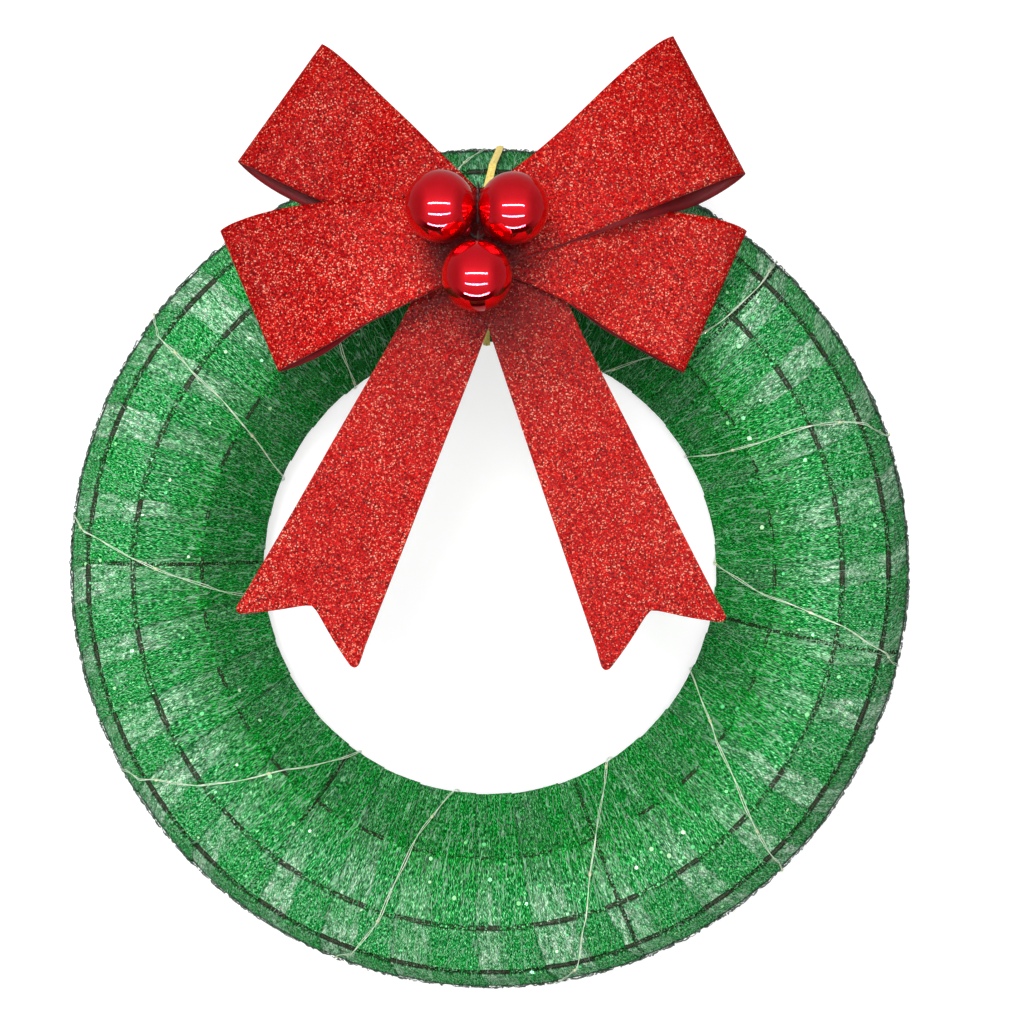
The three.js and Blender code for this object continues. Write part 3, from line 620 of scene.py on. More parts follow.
def green_mesh():
    """Spun glitter mesh: a web of plastic fibres that mostly run along the ribbon, with thin places in it.

    Attributes, in millimetres: along and across the ribbon, lap (how far inside a lapped strip) and bar
    (distance from the nearest cross bar). Others: ring (1 at the edge of an opening over a ring), show (how
    plain that opening is), rim (1 over the outermost ring) and outwards (0 near the hole, 1 on the outer
    half)."""
    look = Look("green_mesh")
    names = ("along", "across", "lap", "outwards", "rim", "ring", "show", "bar")
    along, across, lap, outwards, rim, ring, show, bar = (look.attribute(name) for name in names)

    def streaks(width, length, slant, seed, detail=1):
        spot = look.add("CombineXYZ", ((across + along * slant) / width, along / length, seed))
        return look.noise(spot, 1, detail)

    def threads(width, length, slant, seed, reach):
        """Thin lines where a stretched noise crosses its middle value."""
        return (streaks(width, length, slant, seed) - 0.5).size().span(0, reach, 1, 0)

    grain = (streaks(0.36, 1.7, 0.28, 61) + streaks(0.36, 1.5, -0.3, 67)) * 0.5
    green = grain.ramp(
        (0.38, (0, 0.02, 0.004)), (0.45, (0, 0.11, 0.016)), (0.5, (0.002, 0.28, 0.042)),
        (0.55, (0.02, 0.56, 0.1)), (0.6, (0.16, 0.95, 0.3)), (0.66, (0.8, 1, 0.8)),
    )
    pale = grain.ramp((0.38, (0, 0.13, 0.03)), (0.45, (0.06, 0.5, 0.17)), (0.52, (0.3, 0.88, 0.42)),
                      (0.6, (0.95, 1, 0.9)))
    white = grain.ramp((0.4, (0.16, 0.6, 0.24)), (0.5, (0.6, 0.98, 0.62)), (0.58, (1, 1, 1)))
    green = look.blend(look.grain(0.05, 3).span(0.42, 0.62, 0, 0.5), green, (0.45, 0.95, 0.6), "MULTIPLY")
    # Painted shade: the mesh towards the hole is darkened, where the inner wall turns away from the light
    green = look.blend(outwards.span(0, 0.5, 1, 0), green, (0.25, 0.78, 0.42), "MULTIPLY")

    # Single layers of ribbon are paler, partly their own thinner film and partly painted light for the white
    # card seen through them, and painted white where they lie open
    ragged = lap + streaks(3, 9, 0, 5).span(0.25, 0.75, -1.4, 1.4)
    single = ragged.span(-0.5, 0.5, 1, 0) * streaks(60, 45, 0, 97).span(0.36, 0.6, 0.35, 1)
    lens = streaks(2.4, 10, 0.04, 47, 2)
    thin = single * lens.span(0.34, 0.54, 0.3, 1)
    colour = look.blend(thin * outwards.span(0, 1, 0.15, 0.8), green, pale)
    colour = look.blend(single * lens.span(0.5, 0.6) * outwards * 0.8, colour, white)

    # The mesh round the waist of the bow is in shade
    waist = (WAIST[0], 0, WAIST[1] - TUBE_RADIUS)
    from_waist = look.vector("DISTANCE", look.stretched(1, 0, 1), waist, output="Value")
    colour = look.blend(from_waist.span(55, 108, 1, 0), colour, (0.25, 0.5, 0.36), "MULTIPLY")

    # Threads, dark lap edges and the dark rim
    dark_threads = threads(1, 7, 0.12, 3, 0.045).most(threads(1.3, 6, -0.22, 17, 0.04))
    dark_threads = dark_threads.most(threads(2.1, 4, 0.6, 31, 0.025))
    colour = look.blend(threads(1.6, 12, 0.05, 83, 0.03) * 0.5, colour, (0.5, 0.85, 0.6))
    dark = (dark_threads * single.span(0, 1, 0.4, 0.8)).most(ragged.size().span(0.1, 0.9, 1, 0) * 0.35)
    colour = look.blend(dark, colour, (0.001, 0.055, 0.014))
    colour = look.blend(rim * 0.9, colour, (0.006, 0.02, 0.01))

    # Broken openings over the rings and the cross bars, where the wire shows through
    window = (ring.span(0.8, 1.1, 1, 0) * show).most(bar.size().span(0.7, 1.1, 1, 0) * 0.74)
    patchy = streaks(1.3, 0.8, 0, 71, 2) + single * 0.16 + window * 0.46
    hidden = patchy.span(0.84, 0.96) * window.span(0.05, 0.4)
    # The openings are painted dark brown: partly the wire's own colour, partly painted shade round the wire
    # under the mesh
    look.set(Base_Color=look.blend(hidden * 0.85, colour, (0.03, 0.028, 0.014)), Specular_IOR_Level=0.05)
    look.rough(grain, 0.65, 0.45, 0.35, 0.75)
    look.set(Alpha=look.add("Math", (1, hidden * 0.65), operation="SUBTRACT", use_clamp=True))
    look.bump(grain + dark_threads, 0.25, 0.7)
    return look.material


# ---- The tube's cross-section ----


def outline(offset, spacing=2.6, turn_step=18):
    """Stations round the rings at an offset from their centrelines, from the outer back corner over the crown
    to the inner back corner: radius, height and outward angle. Then the distance travelled at each."""
    radii, heights = RING_RADII, RING_HEIGHTS
    ahead = np.arctan2(np.roll(heights, -1) - heights, np.roll(radii, -1) - radii) - math.pi / 2
    stations = []

    def beside(ring, angle):
        return radii[ring] + offset * math.cos(angle), heights[ring] + offset * math.sin(angle), angle

    for i, arriving in enumerate(np.roll(ahead, 1)):
        turn = (ahead[i] - arriving) % (2 * math.pi)
        count = max(2, round(math.degrees(turn) / turn_step))
        for angle in np.linspace(arriving, arriving + turn, count):
            stations.append(beside(i, angle))
        if i < len(radii) - 1:
            here, there = np.array(stations[-1]), np.array(beside(i + 1, angle))
            parts = round(math.dist(here[:2], there[:2]) / spacing)
            stations += [tuple(here + (there - here) * k / parts) for k in range(1, parts)]
    stations = np.array(stations)
    return stations, distances(stations[:, :2])


def whole_turn(offset, back_parts=30):
    """The outline's stations with the flat back added, how far round each is, and a whole turn's length."""
    stations, _ = outline(offset)
    start, end = stations[-1], stations[0]
    back = np.array([start + (end - start) * k / back_parts for k in range(1, back_parts)])
    back[:, 2] = end[2]
    loop = np.concatenate([stations, back])
    travelled = distances(np.concatenate([loop, loop[:1]])[:, :2])
    return loop, travelled[:-1], travelled[-1]


# ---- Wire frame ----


def crossbar_shape(clock):
    """A cross bar inside the rings, with a weld bead at each ring."""
    away = np.stack([TUBE_RADIUS - RING_RADII, BACK_OFFSET - RING_HEIGHTS], axis=-1)
    away[0], away[-1] = (-1, 0.35), (1, 0.35)
    away = unit(away) * CROSSBAR_INSET
    spots = on_clock(clock, RING_RADII + away[:, 0], RING_HEIGHTS + away[:, 1])
    share = np.linspace(0, 1, 9)[:, None]
    swell = (0.35 + 0.85 * np.sin(math.pi * share[:, 0])) * MM
    beads = [sweep(spot + (ring - spot) * (0.1 + 0.8 * share), swell, 10)
             for spot, ring in zip(spots, on_clock(clock, RING_RADII, RING_HEIGHTS))]
    return joined([sweep(through(spots, 10), WIRE_RADIUS * MM, 12), *beads])


def build_frame():
    wire = [frame_wire()]
    clock = np.linspace(0, 360, 240, endpoint=False)
    for name, radius, height in zip(RING_NAMES, RING_RADII, RING_HEIGHTS):
        path = on_clock(clock, radius + 0.08 * np.sin(np.radians(clock * 5 + radius)), height)
        piece("frame_" + name, sweep(path, WIRE_RADIUS * MM, 12, True), wire, "wreath", name)
    for i, clock in enumerate(CROSSBAR_CLOCK):
        name = f"crossbar_{i + 1}"
        piece("frame_" + name, crossbar_shape(clock), wire, "wreath", name)


# ---- Mesh ribbon ----


def turn_clock(turn, share, front_share):
    """The clock angle of a turn's middle line at a share of its way round."""
    number = turn % TURNS
    base = WRAP_START + TURN_PITCH * turn
    start = base + START_JITTER[number]
    crossed = base + FRONT_ADVANCE + LEAN_JITTER[number]
    following = base + TURN_PITCH + START_JITTER[(number + 1) % TURNS]
    front = start + (crossed - start) * np.clip(share / front_share, 0, 1)
    back = crossed + (following - crossed) * np.clip((share - front_share) / (1 - front_share), 0, 1)
    return np.where(share < front_share, front, back)


def half_angle(radius, turn):
    """Half the ribbon's reach in clock degrees. It bunches up towards the hole, with nearly radial edges."""
    bunched = WRAP_HALF_WIDTH * (radius / RING_RADII[0]) ** 0.93
    return np.degrees(np.arcsin((bunched + WIDTH_JITTER[turn % TURNS] * radius / RING_RADII[0]) / radius))


def ripple(clock, travelled):
    """Pleats that run along the ribbon. They follow the place on the wreath, so lapped layers share them."""
    angle = np.radians(clock)
    fine = np.sin(angle * 96 + 1.3 * np.sin(angle * 11)) * 0.1
    broad = np.sin(angle * 41 + 0.7 * np.sin(angle * 7 + travelled * 0.02)) * 0.12
    return fine + broad


def turn_grid(turn, last):
    """One turn of ribbon: its outer and inner points and its attributes."""
    loop, travelled, total = whole_turn(WRAP_MIDDLE)
    if not last:
        loop, travelled = np.concatenate([loop, loop[:1]]), np.append(travelled, total)
    radius, height, outward = loop.T[:, :, None]
    way = travelled[:, None]
    share, front_share = way / total, outline(WRAP_MIDDLE)[1][-1] / total
    per_degree = np.radians(radius)
    across = np.linspace(-1, 1, WRAP_COLUMNS)[None, :]
    clock = turn_clock(turn, share, front_share) + across * half_angle(radius, turn)

    away = np.array([np.hypot(radius - ring, height - rise)
                     for ring, rise in zip(RING_RADII, RING_HEIGHTS)])
    clear = np.sqrt(np.maximum(away.min(axis=0) ** 2 - WRAP_MIDDLE ** 2, 0))
    slack = 0.25 + 0.75 * smoothstep(clear, 0.5, 7)
    lift = WRAP_LOW + WRAP_TILT * (1 - across) / 2 - WRAP_MIDDLE
    lift = lift + slack * ripple(clock, way) + RNG.normal(0, 0.03, clock.shape)
    outer, inner = (on_clock(clock, radius, height, outward, lift - depth)
                    for depth in (0, WRAP_THICKNESS))

    lap = np.full(clock.shape, -9.0)
    for other in (turn - 1, turn + 1):
        outside = np.abs(clock - turn_clock(other, share, front_share)) - half_angle(radius, other)
        lap = np.maximum(lap, -outside * per_degree)
    off_bar = (clock - np.array(CROSSBAR_CLOCK)[:, None, None] + 180) % 360 - 180
    bar = np.take_along_axis(off_bar, np.abs(off_bar).argmin(axis=0)[None], axis=0)[0] * per_degree
    from_ring = []
    for ring_away, (shift, half, _) in zip(away, RING_WINDOWS):
        middle = travelled[ring_away[:, 0] < WRAP_MIDDLE + 0.01].mean()
        from_ring.append(np.abs(way - middle - shift) / half)
    from_ring = np.array(from_ring)
    wall_end = travelled[np.argmin(away[1])]
    squeezed = np.where(way < wall_end, way * OUTER_WALL_STRETCH, way - wall_end * (1 - OUTER_WALL_STRETCH))
    values = {
        "along": squeezed + total * turn,
        "across": across * half_angle(radius, turn) * per_degree + 61.0 * turn,
        "lap": lap,
        "ring": from_ring.min(axis=0),
        "show": np.array([show for _, _, show in RING_WINDOWS])[from_ring.argmin(axis=0)],
        "rim": smoothstep(away[0], 6, 3.2),
        "bar": np.where(height < 2 * BACK_OFFSET, 9.0, bar),
        "outwards": smoothstep(radius, 112, 144),
    }
    return outer, inner, {key: np.broadcast_to(value, clock.shape) for key, value in values.items()}


def surface_point(clock, share_along, lift):
    """A point on the front of the wrapped tube, by clock angle and share of the way from the outer to the
    inner back corner."""
    stations, travelled = outline(0.0)
    spot = np.asarray(share_along) * travelled[-1]
    radius, height, outward = (np.interp(spot, travelled, values) for values in stations.T)
    return on_clock(clock, radius, height, outward, lift)


def loose_fibres(first_clock):
    """Fibres lying mostly along the ribbon and lifting off it a little."""
    fibres = []
    share = np.linspace(0, 1, 6)
    for _ in range(FIBRES_PER_LENGTH):
        clock = first_clock + RNG.uniform(0, TURN_PITCH * TURNS_PER_LENGTH)
        kind = EDGE_FIBRE if RNG.random() < EDGE_SHARE else FLAT_FIBRE
        start, stand, length, radius = (RNG.uniform(*limits) for limits in kind)
        wander = np.cumsum(RNG.normal(0, 0.12, 6)) + share * RNG.normal(0, 0.7)
        lift = 1.95 + stand * np.sin(math.pi * share)
        path = surface_point(clock + wander, np.clip(start + length * share, 0, 1), lift)
        fibres.append(sweep(path, radius * MM, 3))
    return joined(fibres)


def glitter_flakes(first_clock):
    """Small six-sided flakes lying on the mesh."""
    flakes = []
    for _ in range(FLAKES_PER_LENGTH):
        clock = first_clock + RNG.uniform(0, TURN_PITCH * TURNS_PER_LENGTH)
        along = RNG.uniform(0.2, 0.8)
        spot = surface_point(clock, along, 2.0)
        out = unit(surface_point(clock, along, 4.0) - spot) + RNG.normal(0, 0.25, 3)
        size = RNG.uniform(0.35, 0.95)
        flakes.append(lathe([(0, 0), (0, size), (0.12, size), (0.12, 0)], spot, out, 6))
    return joined(flakes)


def build_mesh_ribbon():
    net, fibre, glitter = [green_mesh()], [mesh_fibre()], [mesh_glitter()]
    for number in range(1, LENGTHS + 1):
        turns = range((number - 1) * TURNS_PER_LENGTH, number * TURNS_PER_LENGTH)
        grids = [turn_grid(turn, turn == turns[-1]) for turn in turns]
        outer, inner = (np.concatenate([grid[i] for grid in grids]) for i in (0, 1))
        attributes = {key: np.concatenate([values[key] for _, _, values in grids] * 2)
                      for key in grids[0][2]}
        piece(f"mesh_ribbon_{number}", slab(outer, inner), net, "wreath", f"mesh_wrap_{number}",
              attributes)
        start = WRAP_START + TURN_PITCH * turns[0]
        piece(f"mesh_fibres_{number}", loose_fibres(start), fibre, "wreath")
        piece(f"mesh_glitter_{number}", glitter_flakes(start), glitter, "wreath", facets=True)


# ---- Light string ----


def crossing_path(ring_clocks):
    """Clock, radius, height and outward angle from the inner to the outer back corner, over the front."""
    stations, travelled = outline(STRING_OFFSET)
    passes = [travelled[np.argmin(np.hypot(stations[:, 0] - radius, stations[:, 1] - height))]
              for radius, height in zip(RING_RADII, RING_HEIGHTS)]
    knots = np.array([0, *passes[1:-1], travelled[-1]])
    clock = np.polyval(np.polyfit(knots, np.array(ring_clocks, float)[::-1], 4), travelled)
    return np.concatenate([clock[:, None], stations], axis=1)[::-1]


def string_path():
    """The middle line of the light string and its outward directions."""
    stations, _ = outline(STRING_OFFSET)
    over_edge = stations[stations[:, 0] > TUBE_RADIUS + 15][::-1]
    lead = np.interp(over_edge[:, 0], [150, 160, 177], [-5.4, -4.6, -0.7])
    rows = np.concatenate([np.column_stack([lead, over_edge]), *map(crossing_path, CROSSINGS)])
    clock, radius, height, outward = rows.T
    spots = on_clock(clock, radius, height)
    outs = unit(on_clock(clock, radius, height, outward, 1) - spots)
    spots = np.concatenate([place(*STRING_START, BOX_BACK + 3.3)[None], spots])
    outs = np.concatenate([outs[:1], outs])
    steps = np.maximum(1, np.round(np.linalg.norm(np.diff(spots, axis=0), axis=1) / (2.2 * MM))).astype(int)
    at = np.concatenate([np.arange(n) / n + i for i, n in enumerate(steps)] + [[len(steps)]])
    path, outs = (np.stack([np.interp(at, np.arange(len(spots)), line) for line in values.T], axis=-1)
                  for values in (spots, outs))
    return path, unit(outs)


def build_light_string():
    wire = [wire_finish("string_wire", (0.55, 0.78, 0.5), (0.95, 1.0, 0.86), 0.35, 0.0)]
    path, outs = string_path()
    lateral = unit(np.cross(unit(np.gradient(path, axis=0)), outs))
    travelled = distances(path) / MM
    wave = 0.45 * np.sin(travelled / 11) + 0.2 * np.sin(travelled / 4.1 + 1)
    path = path + lateral * wave[:, None] * MM
    strands = []
    for start in (0, math.pi):
        twist = travelled / 6.5 + start
        apart = 0.3 + 0.14 * np.sin(travelled / 23)
        shift = lateral * (apart * np.cos(twist))[:, None] + outs * (0.2 + 0.2 * np.sin(twist))[:, None]
        strands.append(sweep(path + shift * MM, STRAND_RADIUS * MM, 6))
    piece("string_wires", joined(strands), wire, "wreath", "light_string")
    drop = [(-1.15 * math.cos(angle), 0.68 * math.sin(angle)) for angle in np.linspace(0, math.pi, 11)]
    beads = []
    for i in np.searchsorted(travelled, np.arange(FIRST_LED, travelled[-1] - 10, LED_SPACING)):
        beads.append(lathe(drop, path[i] + outs[i] * 0.25 * MM, path[i + 1] - path[i], 12))
    piece("string_leds", joined(beads), [led_resin()], "wreath")


# ---- Twist tie ----


def tie_path():
    """Rows of (x, z, height, outward angle) round the box, the tube and the bow's eye."""
    stations, _ = outline(TIE_CLEARANCE, 6, 30)

    def leaning(on_side, most):
        """The tie over one side of the tube, its outward angles brought below a limit."""
        radius, height, outward = stations[on_side][::-1].T
        x = np.interp(radius, [98, 132, 143, 151, 177], [-1.4, -2.6, -1.6, -0.2, 4.3])
        return np.column_stack([x, radius, height, np.where(outward > most, outward - 2 * math.pi, outward)])

    def from_waist(*rows):
        rows = np.array(rows, float)
        return np.column_stack([WAIST[0] + rows[:, 0], rows[:, 1:3], np.radians(rows[:, 3])])

    over_top = from_waist(
        (0, WAIST[1] + 3, EYE_DEPTH + 0.8, 90),
        (0.7, BOX_EDGE + 0.6, BOX_FRONT + 0.6, 60),
        (1.2, BOX_MIDDLE + LID_REACH + 0.8, BOX_BACK + 2.6, 20),
        (1.4, BOX_MIDDLE + LID_REACH + 2, BOX_BACK - 1, 35),
    )
    over_bottom = from_waist(
        (0.3, BOX_MIDDLE - LID_REACH - 1.6, BOX_BACK - 3, -210),
        (0.2, BOX_MIDDLE - LID_REACH - 0.6, BOX_BACK + 3, -200),
        (0, BOX_MIDDLE - BOX_HALF_WIDTH - 0.6, BOX_FRONT + 0.6, -240),
        (0, WAIST[1] - 3, EYE_DEPTH + 0.8, -270),
    )
    outer = leaning(stations[:, 0] > TUBE_RADIUS + 15, math.pi)
    inner = leaning(stations[:, 0] < TUBE_RADIUS - 15, 0)
    twist = [(*TIE_TWIST, BACK_OFFSET - TIE_CLEARANCE, -math.pi / 2)]
    return np.concatenate([over_top, outer, twist, inner, over_bottom])


def build_twist_tie():
    path = rounded(tie_path())
    x, z, height, outward = path.T[:, :, None]
    columns = np.linspace(-1, 1, 9)
    crimp = 0.12 * np.sin(np.arange(len(path)) * 0.9)[:, None] * columns
    lift = 0.22 + 0.33 * np.exp(-(columns / 0.28) ** 2) + crimp * 0.3
    inner = place(x + columns * TIE_HALF_WIDTH, z, height)
    outer = place(x + columns * TIE_HALF_WIDTH, z + lift * np.cos(outward), height + lift * np.sin(outward))
    shapes = [slab(outer, inner)[:2]]
    along = np.linspace(0, 1, 60)
    for strand in (0, math.pi):
        turn = along * 5 * 2 * math.pi + strand
        twisted = place(TIE_TWIST[0] + 15 * along, TIE_TWIST[1] - 8 * along + 0.7 * np.cos(turn),
                        -3.0 + 0.7 * np.sin(turn))
        shapes.append(sweep(twisted, 0.62 * MM, 8))
    piece("tie_strip", joined(shapes), [gold_tie()], "wreath", "twist_tie")


# ---- Battery box ----


def build_cells():
    steel = [cell_steel()]
    r, t = CELL_RADIUS, CELL_THICKNESS
    profile = [(0, 0), (0, r - 1.6), (0.15, r - 1.3), (0.4, r - 1.2), (0.45, r - 0.5), (0.7, r - 0.1),
               (1.1, r), (t - 0.3, r), (t - 0.1, r - 0.1), (t, r - 0.3), (t, 0)]
    for side, x in CELL_X.items():
        shape = lathe(profile, place(x, BOX_MIDDLE, CELL_BACK), (0, -1, 0), 64)
        piece(f"cell_{side}", shape, steel, "wreath", f"coin_cell_{side}")


def finish_box():
    """Materials for the CAD nodes that stay as they are."""
    looks = {
        "battery_case": moulded_plastic("box_plastic", (0.018, 0.018, 0.02), 0.42),
        "battery_lid": moulded_plastic("lid_plastic", (0.022, 0.022, 0.024), 0.46),
        "switch_body": moulded_plastic("switch_plastic", (0.012, 0.012, 0.013), 0.35),
        "switch_knob": moulded_plastic("knob_plastic", (0.7, 0.7, 0.67), 0.35),
    }
    contact = wire_finish("contact_spring", (0.62, 0.6, 0.55), (0.8, 0.79, 0.74), 0.28, 1.0)
    looks.update({name: contact for name in ("series_contact", "positive_contact", "negative_contact")})
    for name, material in looks.items():
        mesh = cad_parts[name].data
        mesh.materials.clear()
        mesh.materials.append(material)


# ---- Bow ----


def loop_grid(loop, strip, columns):
    """Rows of points out along a loop's front, round its nose and back along its rear."""
    waist, top, bottom = (np.array(corner, float) for corner in (WAIST, loop["top"], loop["bottom"]))
    middle, fold_half = (top + bottom) / 2, (top - bottom) / 2
    length = np.linalg.norm(middle - waist)
    radius, nose = (loop["front"] - loop["back"]) / 2, loop["nose"]
    straight = np.linspace(0, 1 - nose / length, 44)
    angle = np.radians(np.linspace(90, -90, 25))
    share = np.concatenate([straight[:-1], straight[-1] + nose * np.cos(angle) / length, straight[-2::-1]])
    back_waist = STRIP_BACK + strip["layer"] * LAYER_STEP
    starts = {"front": back_waist + LAYER_STEP + RIBBON, "back": back_waist}
    front, rear = (start + (loop[side] - start) * smoothstep(straight, *strip[side])
                   for side, start in starts.items())
    height = np.concatenate([front[:-1], loop["back"] + radius + radius * np.sin(angle), rear[-2::-1]])

    way = np.append(0, np.cumsum(np.hypot(np.diff(share) * length, np.diff(height))))
    apex = way[len(straight) - 1 + len(angle) // 2]
    reach = np.where(way <= apex, way / apex, (way[-1] - way) / (way[-1] - apex))
    on_front = smoothstep(way, apex * 1.05, apex * 0.9)
    swell, near_waist = np.sin(math.pi * reach ** 2.4), np.sin(math.pi * reach ** 0.6)
    top_bow, bottom_bow = (
        (swell * (on_front * at_front + (1 - on_front) * at_rear) + near_waist * at_waist)[:, None]
        for at_front, at_rear, at_waist in zip(loop["bow"][:2], loop["bow"][2:], loop["waist_bow"]))

    half = np.array([0, WAIST_HALF]) + (fold_half - (0, WAIST_HALF)) * reach[:, None]
    edge = np.maximum(columns, 0) ** 2 * top_bow - np.minimum(columns, 0) ** 2 * bottom_bow
    spot = (waist + (middle - waist) * share[:, None])[:, None]
    across = spot + half[:, None] * columns[:, None] + unit(half)[:, None] * edge[:, :, None]
    cup = 0.35 * (1 - columns ** 2) * (np.sin(math.pi * reach) * (2 * on_front - 1))[:, None]
    return np.concatenate([across, (height[:, None] + cup)[:, :, None]], axis=-1)


def strip_grid(strip):
    """A strip is one closed band round two opposite loops."""
    one, other = (loop_grid(LOOPS[name], strip, np.linspace(-1, 1, 25)) for name in strip["loops"])
    return np.concatenate([one, other[::-1][1:-1]])


def tail_grid(tail):
    """Rows of points down a tail to its swallow-tail end."""
    root, tip = np.array(tail["root"], float), np.array(tail["tip"], float)
    length = np.linalg.norm(tip - root)
    along = (tip - root) / length
    side = np.array([-along[1], along[0]])
    column = np.sin(np.linspace(-1, 1, 37) * math.pi / 2)
    share = np.concatenate([np.linspace(-0.04, 0.9, 60), np.linspace(0.905, 1, 22)])[:, None]
    start, end = TAIL_BACK + tail["layer"] * LAYER_STEP + RIBBON, tail["height"] + RIBBON
    height = start + (end - start) * smoothstep(share, *tail["ease"])
    at_root, at_tip = tail["half"]
    half = at_root + (at_tip - at_root) * np.maximum(share, 0)
    valley = (np.sqrt(column ** 2 + 0.05) - 0.2236) / (math.sqrt(1.05) - 0.2236)
    inset = np.clip(1 - (1 - np.abs(column)) * at_tip / TIP_ROUND, 0, 1)
    tip_round = TIP_ROUND * (1 - np.sqrt(1 - inset ** 2))
    reach = length * share - TAIL_NOTCH * (1 - valley ** 0.72) * smoothstep(share, 0.3, 1)
    reach = reach - tip_round * smoothstep(share, 0.93, 1)
    spot = root + along * reach[..., None] + side * (half * column)[..., None]
    curl = 0.5 * (column ** 2 - 0.4) * smoothstep(share, 0.3, 0.7)
    curl = curl + 0.6 * np.sin(share * 7) * smoothstep(share, 0.4, 0.8)
    return np.concatenate([spot, (height + curl)[..., None]], axis=-1)


def ribbon_piece(name, grid, dull, materials, closed=False):
    """A length of ribbon from the points of its front face."""
    outer = place(*np.moveaxis(grid, -1, 0))
    normal = unit(np.cross(slopes(outer, closed), np.gradient(outer, axis=1)))
    if normal[10, grid.shape[1] // 2, 1] > 0:
        normal = -normal
    shape = slab(outer, outer - normal * RIBBON * MM, closed)
    piece("ribbon_" + name, shape, materials, "bow", "bow_" + name, {"dull": [dull, dull]})


def build_ribbons():
    materials = [red_glitter(), ribbon_inside(), ribbon_edge()]
    for name, strip in STRIPS.items():
        grid = strip_grid(strip)
        # Painted shade: the glitter is darkened round the waist, where the baubles and loops shadow it, a
        # little out towards the loops' folds, and on the upper left loop
        from_waist = np.hypot(grid[..., 0] - WAIST[0], (grid[..., 1] - WAIST[1] + 6) * 0.8)
        dull = 0.95 * smoothstep(from_waist, 30, 10) + 0.16 * smoothstep(from_waist, 70, 105)
        dull = dull + 0.2 * smoothstep(grid[..., 1] - grid[..., 0], 150, 200)
        ribbon_piece(name + "_strip", grid, dull, materials, True)
    for name, tail in TAILS.items():
        grid = tail_grid(tail)
        # Painted shade: the tails are darkened towards their roots, under the baubles and loops
        from_waist = np.hypot(grid[..., 0] - WAIST[0], grid[..., 1] - WAIST[1])
        dull = 0.3 * smoothstep(from_waist, 95, 45) + 0.4 * smoothstep(from_waist, 50, 25)
        ribbon_piece(name + "_tail", grid, dull, materials)


def build_bow_wires(wire):
    """The twisted wire round the waist, and the staple behind it that the tie goes through."""
    back = STRIP_BACK - 0.8
    front = STRIP_BACK + 3 * LAYER_STEP + RIBBON + 0.8
    reach = WAIST_HALF + 1.3
    half = [(1.2, front), (reach * 0.6, front), (reach - 0.6, front), (reach, front - 1.2),
            (reach, back + 1.2), (reach - 0.6, back), (reach * 0.6, back)]
    line = half + [(-z, height) for z, height in half[::-1]]
    middle = through(np.array([place(WAIST[0], WAIST[1] + z, height) for z, height in line]), 14)
    side, other = frames_along(middle)
    strands = []
    for start in (0, math.pi):
        turn = np.arange(len(middle))[:, None] * 0.45 + start
        strands.append(sweep(middle + (np.cos(turn) * side + np.sin(turn) * other) * 0.24 * MM, 0.25 * MM, 7))
    piece("waist_wire", joined(strands), wire, "bow", "bow_binding_wire")
    top = TAIL_BACK - 0.7
    staple = [(-3, top), (-3, EYE_DEPTH + 0.8), (-2.3, EYE_DEPTH), (0, EYE_DEPTH), (2.3, EYE_DEPTH),
              (3, EYE_DEPTH + 0.8), (3, top)]
    path = through(np.array([place(WAIST[0] + x, WAIST[1], height) for x, height in staple]), 8)
    piece("tie_staple", sweep(path, 0.4 * MM, 12), wire, "bow", "bow_tie_eye")


def build_baubles(wire):
    shell = [bauble_red()]
    metal = [wire_finish("cap_red", (0.3, 0.008, 0.016), (0.5, 0.02, 0.03), 0.28, 0.9)]
    angles = np.linspace(0, math.pi * 0.93, 60)
    ball = [(-math.cos(angle) * BAUBLE_RADIUS, math.sin(angle) * BAUBLE_RADIUS) for angle in angles]
    ball += [(12.35, 2.5), (12.7, 2.4), (12.72, 0)]
    cap = [(12.85, 0), (12.85, 2.3), (13.2, 2.3), (14.6, 2.05), (15.0, 1.7), (15.2, 0.9), (15.3, 0)]
    for name, spot in BAUBLES.items():
        centre = place(*spot, BAUBLE_HEIGHT)
        aim = unit(place(*STEMS_MEET) - centre)
        piece(f"ball_{name}", lathe(ball, centre, aim, 96), shell, "bow", f"bauble_{name}")
        piece(f"cap_{name}", lathe(cap, centre, aim, 28), metal, "bow", f"bauble_cap_{name}")
        stem = sweep(centre + aim * np.linspace(15.7, 18.1, 10)[:, None] * MM, 0.5 * MM, 10)
        piece(f"stem_{name}", stem, wire, "bow", f"bauble_stem_{name}")


# ---- Stage, light and camera ----


def grey(value):
    return value, value, value


def backdrop_white():
    """Plain white card, lit through so that shadows on it stay faint. It isn't there at all for a camera
    that stands behind it."""
    look = Look("backdrop_white")
    look.tones(look.grain(0.01), grey(0.4), grey(0.43))
    look.set(Roughness=0.9)
    look.glow(CARD_GLOW)
    camera = look.add("VectorTransform", [(0, 0, 0)], vector_type="POINT", convert_from="CAMERA",
                      convert_to="WORLD")
    in_front = look.add("SeparateXYZ", [camera], "Y").maths("LESS_THAN", WALL_Y)
    card = Value(look, look.surface.outputs[0])
    shown = look.add("MixShader", (in_front, look.add("BsdfTransparent"), card))
    look.feed(look.tree.nodes["Material Output"].inputs[0], shown)
    return look.material


def floor_pale():
    look = Look("floor_pale")
    look.tones(look.grain(0.01, 3), grey(0.86), grey(0.9))
    look.set(Roughness=0.85)
    look.glow(FLOOR_GLOW)
    return look.material


def plane(name, corners, material):
    mesh = bpy.data.meshes.new(name)
    mesh.from_pydata(corners, [], [(0, 1, 2, 3)])
    mesh.materials.append(material)
    obj = linked(name, mesh)
    obj.visible_glossy = False


def build_stage():
    wall = ((-1.2, FLOOR_Z), (1.2, FLOOR_Z), (1.2, 1.2), (-1.2, 1.2))
    floor = ((-1.6, -1.8), (1.6, -1.8), (1.6, 1.4), (-1.6, 1.4))
    plane("backdrop", [(x, WALL_Y, z) for x, z in wall], backdrop_white())
    plane("floor", [(x, y, FLOOR_Z) for x, y in floor], floor_pale())


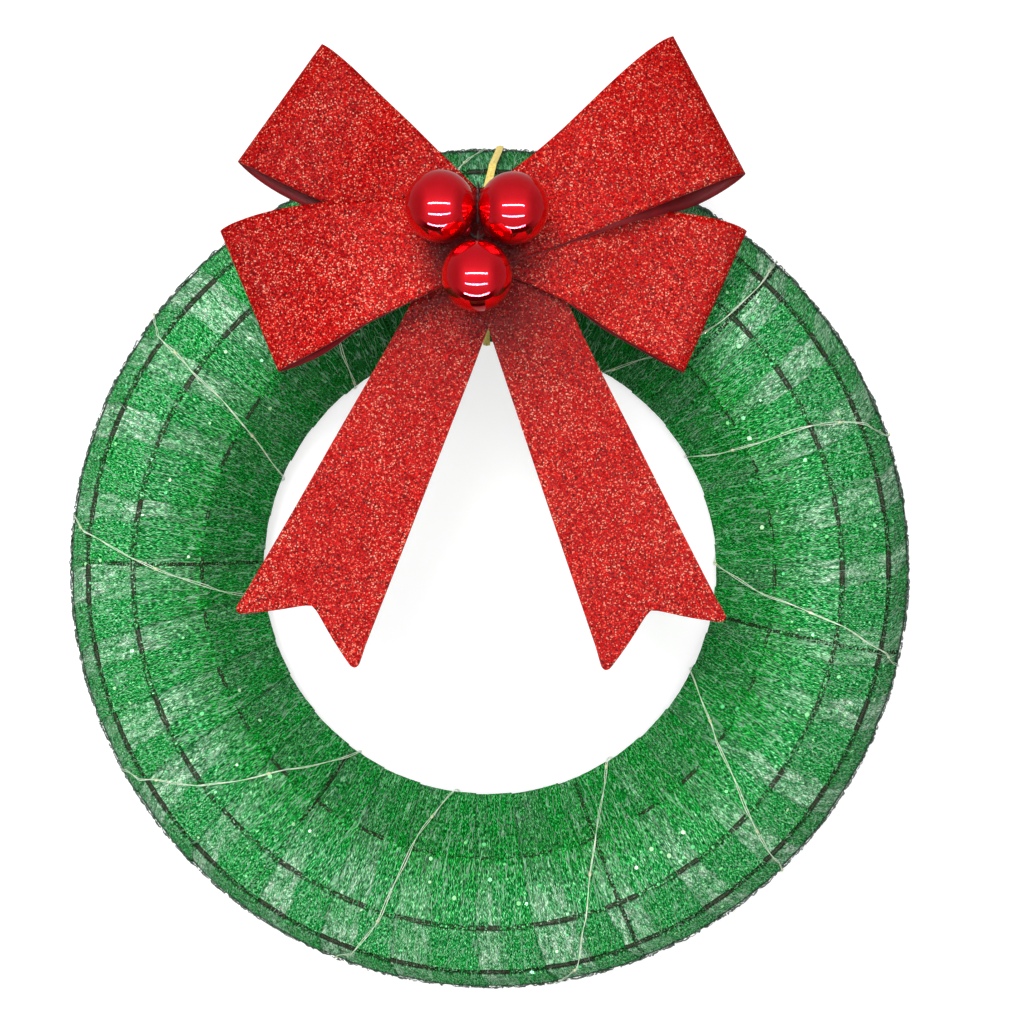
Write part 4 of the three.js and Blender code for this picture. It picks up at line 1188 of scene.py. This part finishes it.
def area_light(name, position, target, size, power, mirrored=False):
    """A soft light. It lights things, or only shows in shiny ones."""
    data = bpy.data.lights.new(name, "AREA")
    data.shape = "RECTANGLE"
    data.size, data.size_y = size
    data.energy = power
    light = linked(name, data)
    light.location = position
    light.rotation_euler = (Vector(target) - Vector(position)).to_track_quat("-Z", "Y").to_euler()
    light.visible_camera = False
    light.visible_glossy = mirrored
    light.visible_diffuse = not mirrored


def build_lights():
    """Three big soft lights, and three tubes that only shiny things mirror."""
    centre = (0, -0.03, -0.1)
    area_light("key", (-0.42, -1.25, 0.62), centre, (0.8, 0.7), 19)
    area_light("fill", (0.2, -1.5, -0.25), centre, (1.0, 1.0), 8)
    area_light("behind", (0.5, 1.3, 0.7), centre, (1.0, 1.0), 22)
    for i, elevation in enumerate(TUBE_ELEVATIONS):
        tilt = math.radians(elevation)
        spot = (0, -0.08 - TUBE_DISTANCE * math.cos(tilt), TUBE_DISTANCE * math.sin(tilt) - 0.01)
        area_light(f"tube_{i + 1}", spot, (0, -0.08, -0.01), (1.25, 0.07), 34, True)


def build_world():
    """An even pale room for diffuse light. Shiny things mirror one with a bright front and a dark floor."""
    world = bpy.data.worlds.new("studio")
    bpy.context.scene.world = world
    world.use_nodes = True
    nodes = Nodes(world.node_tree)
    across = nodes.add("SeparateXYZ", [nodes.add("NewGeometry", output="Incoming")])
    elevation = (across.other("Z") * -1.0).maths("ARCTAN2", across.other("Y"))
    stops = [(degrees / 360 + 0.5, grey(value)) for degrees, value in ROOM]
    room = (elevation / (2 * math.pi) + 0.5).ramp(*stops)
    mirrored = nodes.blend(across.size().span(0.6, 0.9, kind="LINEAR"), room, grey(ROOM_SIDES))
    rays = nodes.add("LightPath", output="Is Camera Ray")
    lit = nodes.blend(rays.other("Is Glossy Ray"), grey(ROOM_LIGHT), mirrored)
    nodes.feed(nodes.tree.nodes["Background"].inputs[0], nodes.blend(rays, lit, grey(1)))


def build_camera():
    data = bpy.data.cameras.new("camera")
    data.angle = 2 * math.atan(VIEW_HALF_WIDTH / VIEW_DISTANCE)
    data.clip_start = 0.01
    camera = linked("camera", data)
    camera.location = CAMERA_SPOT
    camera.rotation_euler = (math.pi / 2, 0, 0)
    bpy.context.scene.camera = camera


# ---- Assembly ----

bow_wire = [wire_finish("bow_wire", (0.016, 0.008, 0.008), (0.05, 0.03, 0.03), 0.5, 0.2)]
build_frame()
build_mesh_ribbon()
build_light_string()
build_twist_tie()
build_cells()
finish_box()
build_ribbons()
build_bow_wires(bow_wire)
build_baubles(bow_wire)
build_stage()
build_lights()
build_world()
build_camera()

scene = bpy.context.scene
scene.view_settings.view_transform = "Standard"
if hasattr(scene, "cycles"):
    scene.cycles.transparent_max_bounces = 24
